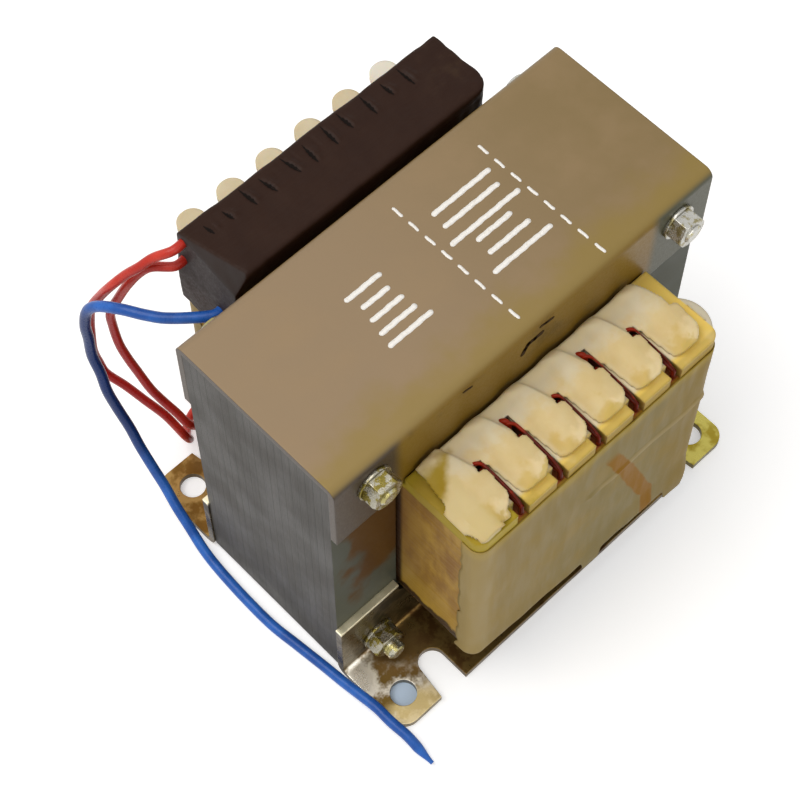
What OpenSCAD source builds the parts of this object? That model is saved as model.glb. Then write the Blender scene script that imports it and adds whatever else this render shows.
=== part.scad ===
// Open-frame mains transformer. A stack of E and I plates is held by a channel-shaped clamp, two angle feet
// and four bolts. The coil stands on the centre leg, on a moulded bobbin with a comb for its wires.
// Front is -Y and up is +Z. The origin is the middle of the four foot holes, on the mounting plane.

/* [Core] */
// Length of the core along X
core_len = 120; // [114:1:130]
// Height of the core
core_h = 100; // [96:1:110]
// Thickness of the stack of plates along Y
stack_d = 47.5; // [42:0.5:52]
// Width of the yokes and of the outer legs
yoke_w = 20; // [18:0.5:21]
// Width of the centre leg
leg_w = 40; // [36:1:42]
// Number of packs of plates in the stack, laid in turn
pack_count = 19; // [11:2:25]
// Varnish gap between two packs
pack_gap = 0.05; // [0.02:0.01:0.1]
// Height of the core above the mounting plane
core_lift = 2; // [2:0.5:4]

/* [Clamp] */
// Thickness of the sheet steel of the clamp and the feet
sheet_t = 2; // [1.5:0.25:2]
// Outside radius of the clamp's bends
clamp_r = 2.5; // [1:0.25:4]
// Depth of the clamp's corner lugs below the top of the core
lug_drop = 23; // [20:0.5:25]
// Gap between the sheet steel and the edges of the coil openings
lug_gap = 1; // [0.75:0.25:2]
// Slant at the inner corners of the lugs
lug_slant = 2; // [1:0.25:2]

/* [Feet] */
// Length of a foot along X
foot_len = 121; // [118:0.5:126]
// Reach of a foot out from the face of the core
foot_reach = 24.25; // [22:0.25:27]
// Height of a foot's upright lugs above the mounting plane
foot_rise = 26; // [25:0.5:30]
// Inside radius of a foot's bend
foot_bend_r = 1.5; // [0.5:0.25:1.5]
// Radius of a foot's outer corners
foot_corner_r = 4.5; // [2:0.5:6]
// Distance between the foot holes along X
hole_span_x = 107; // [104:0.5:109]
// Distance between the foot holes along Y
hole_span_y = 81; // [78:0.5:83]
// Diameter of the foot holes
hole_d = 7; // [5:0.5:8]
// Distance between the two notches of a foot
notch_span = 84.6; // [80:0.2:86]
// Width of a notch
notch_w = 7.5; // [5:0.25:7.5]
// Depth of a notch, from the edge to the middle of its round end
notch_depth = 8.4; // [5:0.2:10]
// Widening of a notch at its mouth, on the outer side
notch_flare = 1.2; // [0.5:0.1:2]

/* [Clamp bolts] */
// Diameter of the bolts
bolt_d = 5; // [4:0.5:6]
// Distance of the bolts in from the ends of the core
bolt_in_x = 11.3; // [9:0.1:12]
// Distance of the bolts in from the top and the underside of the core
bolt_in_z = 6.5; // [6.5:0.5:9]
// Width of the nuts across their flats
hex_w = 8; // [7:0.5:9]
// Height of a nut
nut_h = 4; // [3:0.5:5]
// Angle of the bevel on a nut's corners
nut_bevel = 30; // [20:5:40]
// Diameter of the bolts' round heads
head_d = 8; // [7:0.5:9]
// Height of the bolts' round heads
head_h = 2; // [1.5:0.25:3]
// Distance by which a head's side leans in
head_lean = 0.4; // [0.2:0.1:1]
// Width of the slot in a head
slot_head_w = 1.2; // [0.8:0.1:1.6]
// Depth of the slot in a head
slot_head_depth = 1; // [0.6:0.1:1.2]
// Length of thread beyond an upper nut
thread_top = 0.7; // [0.7:0.1:3]
// Length of thread beyond a lower nut
thread_low = 3; // [1:0.5:5]
// Bevel at the end of a bolt
bolt_bevel = 0.6; // [0.2:0.1:1]
// Diameter of the washers
washer_d = 9.6; // [9:0.2:9.6]
// Thickness of the washers
washer_t = 1; // [0.5:0.1:1.5]
// Wall of the insulating sleeves
sleeve_wall = 0.5; // [0.3:0.1:0.8]
// Clearance round the bolts and the sleeves
bolt_gap = 0.15; // [0.1:0.05:0.3]

/* [Coil] */
// Clearance between the bobbin and the core
core_gap = 0.4; // [0.2:0.1:0.6]
// Wall of the bobbin's tube
tube_wall = 1.5; // [1:0.25:2]
// Thickness of the bobbin's flanges
flange_t = 2; // [1.5:0.25:3]
// Clearance between the flanges and the outer legs
flange_gap = 0.5; // [0.5:0.1:1.5]
// Reach of the coil out from the face of the core
coil_reach = 26.35; // [24:0.25:28]
// Radius of the coil's upright corners
coil_r = 3; // [2:0.5:3.5]
// Part of the winding depth that the primary takes
primary_share = 0.43; // [0.35:0.01:0.55]
// Thickness of the insulation and of the outer tape
tape_t = 0.6; // [0.3:0.1:1]
// Thickness of the film on the coil's front and rear
film_t = 0.4; // [0.2:0.1:0.6]
// Length of film wrapped round each corner
film_wrap = 4; // [3.5:0.25:6]
// Distance of the film's upper edge below the top of the deck
film_drop = 2; // [1:0.25:3]
// Length of film that hangs below the bobbin
film_hang = 3.5; // [2:0.25:5]

/* [Comb] */
// Height of the comb's deck above the bobbin's top flange
deck_rise = 2.4; // [2:0.2:3]
// Number of slots on each side
slot_count = 5; // [3:2:5]
// Distance between two slots
slot_pitch = 12.5; // [11.5:0.25:12.5]
// Width of a slot at its inner end
slot_w = 1.6; // [1.5:0.1:2]
// Width of a slot at its mouth
slot_mouth_w = 2.2; // [2:0.1:2.8]
// Distance of the slots' inner ends from the face of the core
slot_start = 11; // [10:0.25:12]
// Width of the pockets at both ends of a slot
pocket_w = 3.6; // [3.2:0.1:4]
// Length of the pockets at both ends of a slot
pocket_l = 3; // [2:0.25:3.5]
// Extra length of every second inner pocket
pocket_more = 3.8; // [2:0.2:4]
// Clearance between the tongues and the edges of the slots
slot_gap = 0.1; // [0.05:0.05:0.3]
// Depth of a tongue's root in the deck
tongue_root = 1; // [0.5:0.25:1.5]
// Radius of the tongues' tips
tongue_r = 3.6; // [2:0.2:3.6]
// Rise of the front tongues above the deck, at their crests
front_rise = 4.5; // [3.5:0.25:5]
// Reach of the front tongues out from the face of the core
front_reach = 23.65; // [22:0.05:24]
// Fall of a front tongue between its crest and its nose
front_fall = 1.6; // [1:0.1:2]
// Radius of the arch across a front tongue
arch_r = 7.2; // [7:0.1:10]
// Distance of the arch's top to the right of the middle of a front tongue
arch_shift = 1.5; // [0:0.1:2]
// Radius of a front tongue's crest, seen from its end
crest_r = 3; // [2:0.25:3.5]
// Distance of a front tongue's crest behind the slots' inner ends
ridge_in = 4.75; // [4:0.25:5]
// Distance by which a front tongue's right edge leans in on its way to the core
lean_in = 3; // [1:0.25:4]
// Distance of the left end tongue's skirt to the left of the tongue
skirt_out = 3; // [2:0.25:3.5]
// Distance behind the slots' inner ends at which the skirt's slanting edge starts
skirt_in = 3; // [2:0.25:4]
// Distance in front of the slots' inner ends at which it would meet the foot of the skirt's arch
skirt_slant = 9; // [6:0.5:10]
// Width of a rear tongue beside the slots' inner ends
tongue_in_w = 10.4; // [9:0.2:10.6]
// Width of a rear tongue near its tip
rear_tongue_w = 7.6; // [7.4:0.2:9]
// Rise of the rear tongues above the deck
rear_rise = 7.5; // [6:0.25:8]
// Fall of a rear tongue between its tip and its crest
rear_fall = 0.5; // [0.25:0.25:1]
// Reach of the rear tongues out from the face of the core
rear_reach = 34.25; // [32:0.25:36]
// Thickness of the rear tongues' overhanging leaves
leaf_t = 2; // [1.5:0.25:2.5]
// Radius of the ear at the right end of the front comb
ear_r = 8; // [6:0.5:9]
// Distance by which the ear stands out from the deck
ear_out = 2.2; // [1.5:0.1:3]
// Distance of the ear's middle from the face of the core
ear_reach = 18.25; // [16:0.25:19]
// Diameter of the tap wires
wire_d = 1.3; // [1:0.1:1.4]
// Depth of the tap wires' middle below the top of the deck
wire_sink = 1.2; // [0.8:0.1:1.5]

/* [Terminal wrap] */
// Length of the wrapped block along X
wrap_len = 82; // [81:0.5:86]
// Depth of the wrapped block along Y
wrap_d = 20; // [19:0.5:22]
// Distance of the wrapped block from the face of the core
wrap_start = 5; // [4:0.25:6]
// Height of the wrapped block above the deck
wrap_h = 18.5; // [16:0.5:20]
// Thickness of the wrapped block's ends, standing on the deck
wrap_end = 3.5; // [3:0.25:4]
// Clearance between the wrapped block and the rear tongues
wrap_gap = 0.3; // [0.2:0.1:0.5]
// Width of the fold at the front of the left end
fold_w = 4.5; // [3:0.25:6]
// Height of the fold at the front of the left end
fold_h = 5; // [3:0.25:6]
// Drop of the tape that hangs over the left end of the deck
drape_drop = 9; // [6:0.5:10]
// Distance along Y from the block's front to where the tape hangs lowest
drape_slant = 12; // [8:0.5:14]
// Radius of the wrapped block's long upper edges
wrap_r = 1.25; // [1:0.25:2]
// Radius of its upright corner at the front right
wrap_corner_r = 4; // [2:0.5:5]
// Number of creases in its top
crease_count = 11; // [5:1:13]
// Length of a crease
crease_l = 6; // [4:0.5:8]
// Width of a crease
crease_w = 0.6; // [0.4:0.1:1]
// Depth of a crease
crease_depth = 0.7; // [0.3:0.1:1]

/* [Leads] */
// Diameter of the blue lead
blue_d = 2.8; // [2.4:0.1:3]
// Diameter of the red leads
red_d = 2.4; // [2:0.1:2.6]
// Number of sides of a lead
lead_sides = 8; // [8:2:12]
// Distance of the blue lead out from the face of the core where it leaves the block
blue_out = 10.75; // [9:0.25:12]
// Height of the blue lead above the deck where it leaves the block
blue_up = 2; // [1.75:0.25:4]
// Distance of the red leads out from the face of the core where they leave the block
red_out = 23; // [22:0.25:23.25]
// Height of the upper red lead above the deck where it leaves the block
red_upper_up = 16; // [14:0.25:16]
// Height of the lower red lead above the deck where it leaves the block
red_lower_up = 9.5; // [8:0.25:10.5]

/* [Hidden] */
$fn = 48;

// Length by which a cutting shape runs past the faces it cuts
past = 1;

face_y = stack_d / 2;
sheet_y = face_y + sheet_t;
core_top = core_lift + core_h;
window_w = (core_len - leg_w) / 2 - yoke_w;
window_z0 = core_lift + yoke_w;
window_z1 = core_top - yoke_w;
lug_x = core_len / 2 - yoke_w + lug_gap;

bolt_x = core_len / 2 - bolt_in_x;
bolt_z = [core_lift + bolt_in_z, core_top - bolt_in_z];
sleeve_d = bolt_d + 2 * (bolt_gap + sleeve_wall);
nut_y = sheet_y + washer_t;

tube_x = leg_w / 2 + core_gap + tube_wall;
tube_y = face_y + core_gap + tube_wall;
bobbin_z0 = window_z0 + core_gap;
bobbin_z1 = window_z1 - core_gap;
winding_z0 = bobbin_z0 + flange_t;
winding_z1 = bobbin_z1 - flange_t;
coil_x = core_len / 2 - yoke_w - flange_gap;
coil_y = face_y + coil_reach;
primary_x = tube_x + primary_share * (coil_x - tube_x);
primary_y = tube_y + primary_share * (coil_y - tube_y);

deck_y = sheet_y + core_gap;
deck_z = bobbin_z1 + deck_rise;
crest_y = face_y + slot_start;
ridge_y = crest_y - ridge_in;
leaf_z = deck_z + rear_rise - leaf_t;

wrap_x = wrap_len / 2;
wrap_y = face_y + wrap_start;
wrap_z = deck_z + wrap_h;

// Each lead leaves the left end of the wrapped block, and its other points are counted from the upright
// edge of the core at the rear left. Points with no height lie on the mounting plane.
core_edge = [-core_len / 2, face_y, 0];
blue_exit = [-wrap_x, face_y + blue_out, deck_z + blue_up];
blue_points = [
    [9.5, 17, 86], [6, 21.5, 86], [3, 27, 85.5], [0.5, 33, 82.5], [-1, 36, 78.5], [-2, 37, 72],
    [-2, 37, 65.5], [-2.5, 36.5, 58.5], [-2.5, 34.5, 52], [-3, 32.5, 46], [-2.5, 30.5, 39],
    [-2, 27.5, 32], [-2, 24.5, 25.5], [-2, 20.5, 19.5], [-2, 16.5, 14], [-2.5, 12, 9], [-3, 7, 5.5],
    [-4, 0.5, 3], [-4.5, -6, 1.5], [-5, -16, 0], [-5, -27, 0], [-4, -36, 0], [-3, -45, 1.5],
    [-2.5, -51.5, 2], [-2, -57.5, 3], [-1.5, -63, 3.5], [-1.5, -68, 3.5], [-1, -73.5, 3], [-1, -78, 2],
    [-1, -82.5, 0]
];
red_upper_exit = [-wrap_x, face_y + red_out, deck_z + red_upper_up];
red_upper_points = [
    [13.5, 26, 97.5], [10.5, 28, 94.5], [8, 30.5, 91], [5, 33, 86.5], [3.5, 36, 80.5], [2, 39, 73.5],
    [1.5, 40.5, 66], [1, 41, 58.5], [0.5, 41, 51.5], [1, 40.5, 45.5], [1.5, 39, 41], [4, 35.5, 36],
    [6.5, 31.5, 30], [9, 27.5, 24], [11, 23.5, 16], [13, 24.5, 9.5], [14.5, 28, 4.5], [18.5, 32.5, 1.5],
    [24.5, 34.5, 0], [33, 35, 0], [50, 35, 0], [70, 35, 0], [90, 35, 0], [105, 35, 0]
];
red_lower_exit = [-wrap_x, face_y + red_out, deck_z + red_lower_up];
red_lower_points = [
    [13.5, 27, 92.5], [11.5, 29.5, 89.5], [9, 31.5, 85], [7, 34, 78], [5, 36, 71], [5, 36.5, 64],
    [5, 35.5, 56.5], [5.5, 34, 51], [6.5, 32, 44.5], [7.5, 29.5, 38], [9, 27.5, 32.5], [10.5, 24.5, 28],
    [12, 22, 23], [16, 23, 15], [19, 25.5, 8], [23, 28, 3], [29, 29.5, 0], [37.5, 30, 0], [55, 30, 0],
    [75, 30, 0], [95, 30, 0], [105, 30, 0]
];

// Length of straight lead where it leaves the wrapped block
lead_straight = 2;

// Half of a slot's width at a place along Y
function slot_half(y) = (slot_w + (slot_mouth_w - slot_w) * (y - crest_y) / (coil_y - crest_y)) / 2;
function laid(p, d) = [p[0], p[1], max(p[2], d / 2)];
function route(exit, points, d) = concat(
    [exit, exit - [lead_straight, 0, 0]],
    [for (p = points) laid(core_edge + p, d)]
);
function unit(v) = v / norm(v);
function heading(path, i) = unit(path[min(i + 1, len(path) - 1)] - path[max(i - 1, 0)]);
function normals(path, i, last) =
    i == len(path) ? [] :
    let (t = heading(path, i), s = unit(last - (last * t) * t))
    concat([s], normals(path, i + 1, s));

module rounded(x, y, r) {
    square([2 * (x - r), 2 * y], center = true);
    square([2 * x, 2 * (y - r)], center = true);
    for (sx = [-1, 1])
        for (sy = [-1, 1])
            translate([sx * (x - r), sy * (y - r)])
                circle(r);
}

module at_bolts() {
    for (sx = [-1, 1])
        for (z = bolt_z)
            translate([sx * bolt_x, 0, z])
                children();
}

// A round bar along Y, from y0 to y1
module bar(d, y0, y1) {
    translate([0, y1, 0])
        rotate([90, 0, 0])
            cylinder(d = d, h = y1 - y0);
}

module hexagon(y0, h) {
    translate([0, y0 + h, 0])
        rotate([90, 0, 0])
            cylinder(d = hex_w / cos(30), h = h, $fn = 6);
}

// Packs of one outline, every second one of them upside down
module packs() {
    pitch = stack_d / pack_count;
    for (i = [0 : pack_count - 1])
        translate([0, -face_y + i * pitch + pitch - pack_gap / 2, core_lift + core_h / 2])
            mirror([0, 0, i % 2])
                rotate([90, 0, 0])
                    linear_extrude(pitch - pack_gap)
                        difference() {
                            children();
                            for (sx = [-1, 1])
                                for (sz = [-1, 1])
                                    translate([sx * bolt_x, sz * (core_h / 2 - bolt_in_z)])
                                        circle(d = sleeve_d + 2 * bolt_gap);
                        }
}

module e_laminations() {
    color([0.2, 0.19, 0.17])
        packs()
            translate([0, -yoke_w / 2])
                difference() {
                    square([core_len, core_h - yoke_w], center = true);
                    for (sx = [-1, 1])
                        translate([sx * (leg_w + window_w) / 2, yoke_w])
                            square([window_w, core_h - yoke_w], center = true);
                }
}

module i_laminations() {
    color([0.22, 0.21, 0.19])
        packs()
            translate([0, (core_h - yoke_w) / 2])
                square([core_len, yoke_w], center = true);
}

// Cut between the lugs of a sheet, from z0 up to z1, narrower at its upper end
module lug_cut(z0, z1) {
    rotate([90, 0, 0])
        linear_extrude(4 * sheet_y, center = true)
            polygon([
                [-lug_x, z0], [lug_x, z0], [lug_x, z1 - lug_slant],
                [lug_x - lug_slant, z1], [lug_slant - lug_x, z1], [-lug_x, z1 - lug_slant]
            ]);
}

module top_clamp() {
    lug_z = core_top - lug_drop;
    top_z = core_top + sheet_t;
    color([0.62, 0.54, 0.42])
        difference() {
            rotate([90, 0, 90])
                linear_extrude(core_len, center = true)
                    difference() {
                        union() {
                            translate([-sheet_y, lug_z])
                                square([2 * sheet_y, top_z - clamp_r - lug_z]);
                            translate([clamp_r - sheet_y, lug_z])
                                square([2 * (sheet_y - clamp_r), top_z - lug_z]);
                            for (sy = [-1, 1])
                                translate([sy * (sheet_y - clamp_r), top_z - clamp_r])
                                    circle(clamp_r);
                        }
                        translate([-face_y, lug_z - past])
                            square([stack_d, lug_drop + past]);
                    }
            lug_cut(lug_z - past, window_z1 + lug_gap);
            at_bolts()
                bar(bolt_d + 2 * bolt_gap, -sheet_y - past, sheet_y + past);
        }
}

// Outline of a foot, seen from its end: bent sheet with its upright part on the face of the core
module foot_section() {
    heel_r = foot_bend_r + sheet_t;
    difference() {
        union() {
            square([sheet_t, foot_rise]);
            square([foot_reach, sheet_t]);
            square(heel_r);
        }
        difference() {
            square(heel_r);
            translate([heel_r, heel_r])
                circle(heel_r);
        }
        translate([heel_r, heel_r])
            circle(foot_bend_r);
    }
}

// Plan of what is cut from a foot's outer edge, measured out from the face of the core
module foot_cuts() {
    for (sx = [-1, 1])
        scale([sx, 1]) {
            translate([foot_len / 2 - foot_corner_r, foot_reach - foot_corner_r])
                difference() {
                    square(foot_corner_r + past);
                    circle(foot_corner_r);
                }
            translate([hole_span_x / 2, hole_span_y / 2 - face_y])
                circle(d = hole_d);
            translate([notch_span / 2, foot_reach - notch_depth]) {
                circle(d = notch_w);
                polygon([
                    [-notch_w / 2, 0], [notch_w / 2, 0], [notch_w / 2 + notch_flare, notch_depth],
                    [notch_w / 2 + notch_flare, notch_depth + past], [-notch_w / 2, notch_depth + past]
                ]);
            }
        }
}

// A foot on the rear face of the core
module foot() {
    low_z = window_z0 - lug_gap;
    difference() {
        translate([0, face_y, 0])
            difference() {
                rotate([90, 0, 90])
                    linear_extrude(foot_len, center = true)
                        foot_section();
                translate([0, 0, -past])
                    linear_extrude(sheet_t + 2 * past)
                        foot_cuts();
            }
        translate([0, 0, low_z + foot_rise + past])
            mirror([0, 0, 1])
                lug_cut(0, foot_rise + past);
        at_bolts()
            bar(bolt_d + 2 * bolt_gap, face_y - past, sheet_y + past);
    }
}

module front_foot() {
    color([0.72, 0.62, 0.4])
        mirror([0, 1, 0])
            foot();
}

module rear_foot() {
    color([0.72, 0.62, 0.4])
        foot();
}

// A bolt along -Y, with its head at the rear
module bolt(thread_out) {
    end_y = nut_y + nut_h + thread_out;
    bar(bolt_d, bolt_bevel - end_y, sheet_y);
    translate([0, bolt_bevel - end_y, 0])
        rotate([90, 0, 0])
            cylinder(d1 = bolt_d, d2 = bolt_d - 2 * bolt_bevel, h = bolt_bevel);
    difference() {
        translate([0, sheet_y, 0])
            rotate([-90, 0, 0])
                cylinder(d1 = head_d, d2 = head_d - 2 * head_lean, h = head_h);
        translate([-head_d, sheet_y + head_h - slot_head_depth, -slot_head_w / 2])
            cube([2 * head_d, slot_head_depth + past, slot_head_w]);
    }
}

module clamp_bolts() {
    color([0.62, 0.61, 0.56])
        for (sx = [-1, 1]) {
            translate([sx * bolt_x, 0, bolt_z[0]])
                bolt(thread_low);
            translate([sx * bolt_x, 0, bolt_z[1]])
                bolt(thread_top);
        }
}

module bolt_sleeves() {
    color([0.75, 0.62, 0.42])
        at_bolts()
            difference() {
                bar(sleeve_d, -face_y, face_y);
                bar(bolt_d + 2 * bolt_gap, -face_y - past, face_y + past);
            }
}

module washers() {
    color([0.66, 0.64, 0.58])
        at_bolts()
            difference() {
                bar(washer_d, -nut_y, -sheet_y);
                bar(bolt_d + 2 * bolt_gap, -nut_y - past, past - sheet_y);
            }
}

module clamp_nuts() {
    color([0.6, 0.55, 0.43])
        at_bolts()
            difference() {
                intersection() {
                    hexagon(-nut_y - nut_h, nut_h);
                    translate([0, -nut_y, 0])
                        rotate([90, 0, 0])
                            cylinder(d1 = hex_w + 2 * nut_h / tan(nut_bevel), d2 = hex_w, h = nut_h);
                }
                bar(bolt_d, -nut_y - nut_h - past, past - nut_y);
            }
}

// Plan of a front tongue, seen with the core at -Y: its sides follow the slots, and beside the pocket on
// its right it leans in towards the core
module front_plan() {
    tip_y = face_y + front_reach;
    pocket_x = (slot_pitch + slot_w) / 2 - pocket_w - slot_gap;
    pocket_y = crest_y + pocket_l + slot_gap;
    side_x = slot_pitch / 2 - slot_half(pocket_y) - slot_gap;
    tip_x = slot_pitch / 2 - slot_half(tip_y) - slot_gap;
    polygon([
        [-side_x, deck_y], [pocket_x - lean_in, deck_y], [pocket_x, crest_y], [pocket_x, pocket_y],
        [side_x, pocket_y], [tip_x, tip_y - tongue_r], [tip_x - tongue_r, tip_y],
        [tongue_r - tip_x, tip_y], [-tip_x, tip_y - tongue_r], [-side_x, pocket_y]
    ]);
    for (sx = [-1, 1])
        translate([sx * (tip_x - tongue_r), tip_y - tongue_r])
            circle(tongue_r);
}

// Side of a front tongue: a round crest, a falling back and a round nose that ends at tip_y
module front_side(tip_y) {
    root_z = deck_z - tongue_root;
    top_z = deck_z + front_rise;
    nose_r = front_rise - front_fall;
    nose_y = tip_y - nose_r;
    translate([ridge_y, top_z - crest_r])
        circle(crest_r);
    translate([ridge_y - crest_r, root_z])
        square([crest_r, top_z - crest_r - root_z]);
    polygon([[ridge_y, root_z], [ridge_y, top_z], [nose_y, deck_z + nose_r], [nose_y, root_z]]);
    translate([nose_y, deck_z])
        circle(nose_r);
}

// A front tongue on the plan given, arched from side to side
module front_tongue(tip_y) {
    root_z = deck_z - tongue_root;
    tilt = atan(front_fall / (tip_y - front_rise + front_fall - ridge_y));
    intersection() {
        translate([arch_shift, ridge_y, deck_z + front_rise - arch_r])
            rotate([-90 - tilt, 0, 0])
                cylinder(r = arch_r, h = 4 * front_reach, center = true);
        rotate([90, 0, 90])
            linear_extrude(2 * slot_pitch, center = true)
                front_side(tip_y);
        translate([0, 0, root_z])
            linear_extrude(front_rise + tongue_root)
                children();
    }
}

// The front comb's tongues, and the skirt that closes the comb at its left end
module front_tongues() {
    skirt_x = slot_count / 2 * slot_pitch + skirt_out;
    for (i = [0 : slot_count])
        translate([(i - slot_count / 2) * slot_pitch, 0, 0])
            front_tongue(face_y + front_reach)
                front_plan();
    translate([-skirt_x, 0, 0])
        front_tongue(coil_y - slot_gap)
            intersection() {
                translate([skirt_x, 0])
                    rounded(coil_x - slot_gap, coil_y - slot_gap, coil_r);
                polygon([
                    [arch_shift, crest_y - skirt_in], [arch_shift, coil_y],
                    [-arch_r, coil_y], [-arch_r, crest_y + skirt_slant]
                ]);
            }
}

// A rear tongue, rising away from the core along +Y and reaching out over the edge of the deck
module rear_tongue() {
    w = rear_tongue_w;
    tip_y = face_y + rear_reach;
    root_z = deck_z - tongue_root;
    intersection() {
        rotate([90, 0, 90])
            linear_extrude(tongue_in_w, center = true)
                polygon([
                    [deck_y + tongue_root, root_z], [crest_y, deck_z + rear_rise - rear_fall],
                    [tip_y, deck_z + rear_rise], [tip_y, leaf_z],
                    [coil_y - rear_fall, leaf_z - rear_fall], [coil_y - pocket_l, root_z]
                ]);
        translate([0, 0, root_z])
            linear_extrude(wrap_h) {
                translate([-tongue_in_w / 2, deck_y])
                    square([tongue_in_w, crest_y + pocket_l - deck_y]);
                translate([-w / 2, deck_y])
                    square([w, tip_y - tongue_r - deck_y]);
                translate([tongue_r - w / 2, deck_y])
                    square([w - 2 * tongue_r, tip_y - deck_y]);
                for (sx = [-1, 1])
                    translate([sx * (w / 2 - tongue_r), tip_y - tongue_r])
                        circle(tongue_r);
            }
    }
}

// Slots of both combs, wider towards their mouths, with a pocket to the left at each end
module comb_slots() {
    for (i = [0 : slot_count - 1])
        translate([(i - (slot_count - 1) / 2) * slot_pitch, 0, winding_z1 - past])
            linear_extrude(flange_t + deck_rise + 2 * past)
                for (sy = [-1, 1])
                    scale([1, sy]) {
                        polygon([
                            [-slot_w / 2, crest_y], [slot_w / 2, crest_y],
                            [slot_half(coil_y + past), coil_y + past],
                            [-slot_half(coil_y + past), coil_y + past]
                        ]);
                        translate([slot_w / 2 - pocket_w, crest_y - i % 2 * pocket_more])
                            square([pocket_w, pocket_l + i % 2 * pocket_more]);
                        translate([slot_mouth_w / 2 - pocket_w, coil_y - pocket_l])
                            square([pocket_w, pocket_l + past]);
                    }
}

module bobbin() {
    color([0.79, 0.68, 0.44])
        difference() {
            union() {
                translate([-tube_x, -tube_y, bobbin_z0])
                    cube([2 * tube_x, 2 * tube_y, bobbin_z1 - bobbin_z0]);
                for (z = [bobbin_z0, winding_z1])
                    translate([0, 0, z])
                        linear_extrude(flange_t)
                            rounded(coil_x, coil_y, coil_r);
                translate([0, 0, winding_z1])
                    linear_extrude(flange_t + deck_rise)
                        difference() {
                            rounded(coil_x, coil_y, coil_r);
                            square([3 * coil_x, 2 * deck_y], center = true);
                        }
                translate([coil_x + ear_out - ear_r, -face_y - ear_reach, deck_z - film_drop])
                    cylinder(r = ear_r, h = film_drop);
                mirror([0, 1, 0])
                    front_tongues();
                for (i = [0 : slot_count])
                    translate([(i - slot_count / 2) * slot_pitch, 0, 0])
                        rear_tongue();
            }
            translate([-leg_w / 2 - core_gap, -face_y - core_gap, bobbin_z0 - past])
                cube([leg_w + 2 * core_gap, stack_d + 2 * core_gap, bobbin_z1 - bobbin_z0 + 2 * past]);
            comb_slots();
        }
}

// One layer of the coil, from its inner outline to its outer outline
module layer(x0, y0, r0, x1, y1, r1) {
    translate([0, 0, winding_z0])
        linear_extrude(winding_z1 - winding_z0)
            difference() {
                rounded(x1, y1, r1);
                rounded(x0, y0, r0);
            }
}

module primary_winding() {
    color([0.65, 0.3, 0.16])
        translate([0, 0, winding_z0])
            linear_extrude(winding_z1 - winding_z0)
                difference() {
                    rounded(primary_x, primary_y, coil_r);
                    square([2 * tube_x, 2 * tube_y], center = true);
                }
}

module interwinding_insulation() {
    color([0.8, 0.68, 0.4])
        layer(primary_x, primary_y, coil_r, primary_x + tape_t, primary_y + tape_t, coil_r);
}

module secondary_winding() {
    color([0.6, 0.24, 0.12])
        layer(primary_x + tape_t, primary_y + tape_t, coil_r, coil_x - tape_t, coil_y - tape_t, coil_r);
}

module outer_tape() {
    color([0.58, 0.44, 0.17])
        layer(coil_x - tape_t, coil_y - tape_t, coil_r, coil_x, coil_y, coil_r);
}

// Film on the rear of the coil, with its ends wrapped round the corners
module film() {
    film_z0 = bobbin_z0 - film_hang;
    translate([0, 0, film_z0])
        linear_extrude(deck_z - film_drop - film_z0)
            difference() {
                rounded(coil_x + film_t, coil_y + film_t, coil_r + film_t);
                rounded(coil_x, coil_y, coil_r);
                translate([-2 * coil_x, -2 * coil_y])
                    square([4 * coil_x, 3 * coil_y - film_wrap]);
            }
}

module front_film() {
    color([0.6, 0.52, 0.36])
        mirror([0, 1, 0])
            film();
}

module rear_film() {
    color([0.6, 0.52, 0.36])
        film();
}

// A wire that comes up from the coil at y1, lies along Y and goes down again at y0
module tap_wire(y0, y1) {
    wire_z = deck_z - wire_sink;
    translate([0, 0, wire_z])
        bar(wire_d, y0, y1);
    for (y = [y0, y1]) {
        translate([0, y, winding_z1])
            cylinder(d = wire_d, h = wire_z - winding_z1);
        translate([0, y, wire_z])
            sphere(d = wire_d);
    }
}

// A wire in each front slot, and a second one beside it in each long pocket
module tap_wires() {
    inner_y = -crest_y - pocket_l / 2;
    outer_y = pocket_l / 2 - coil_y;
    second_x = (slot_w / 2 - pocket_w - wire_d / 2) / 2;
    color([0.43, 0.1, 0.03])
        for (i = [0 : slot_count - 1])
            translate([(i - (slot_count - 1) / 2) * slot_pitch, 0, 0]) {
                tap_wire(outer_y, inner_y);
                if (i % 2 == 1)
                    translate([second_x, 0, 0])
                        tap_wire(inner_y, pocket_more - wire_d - crest_y);
            }
}

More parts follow.
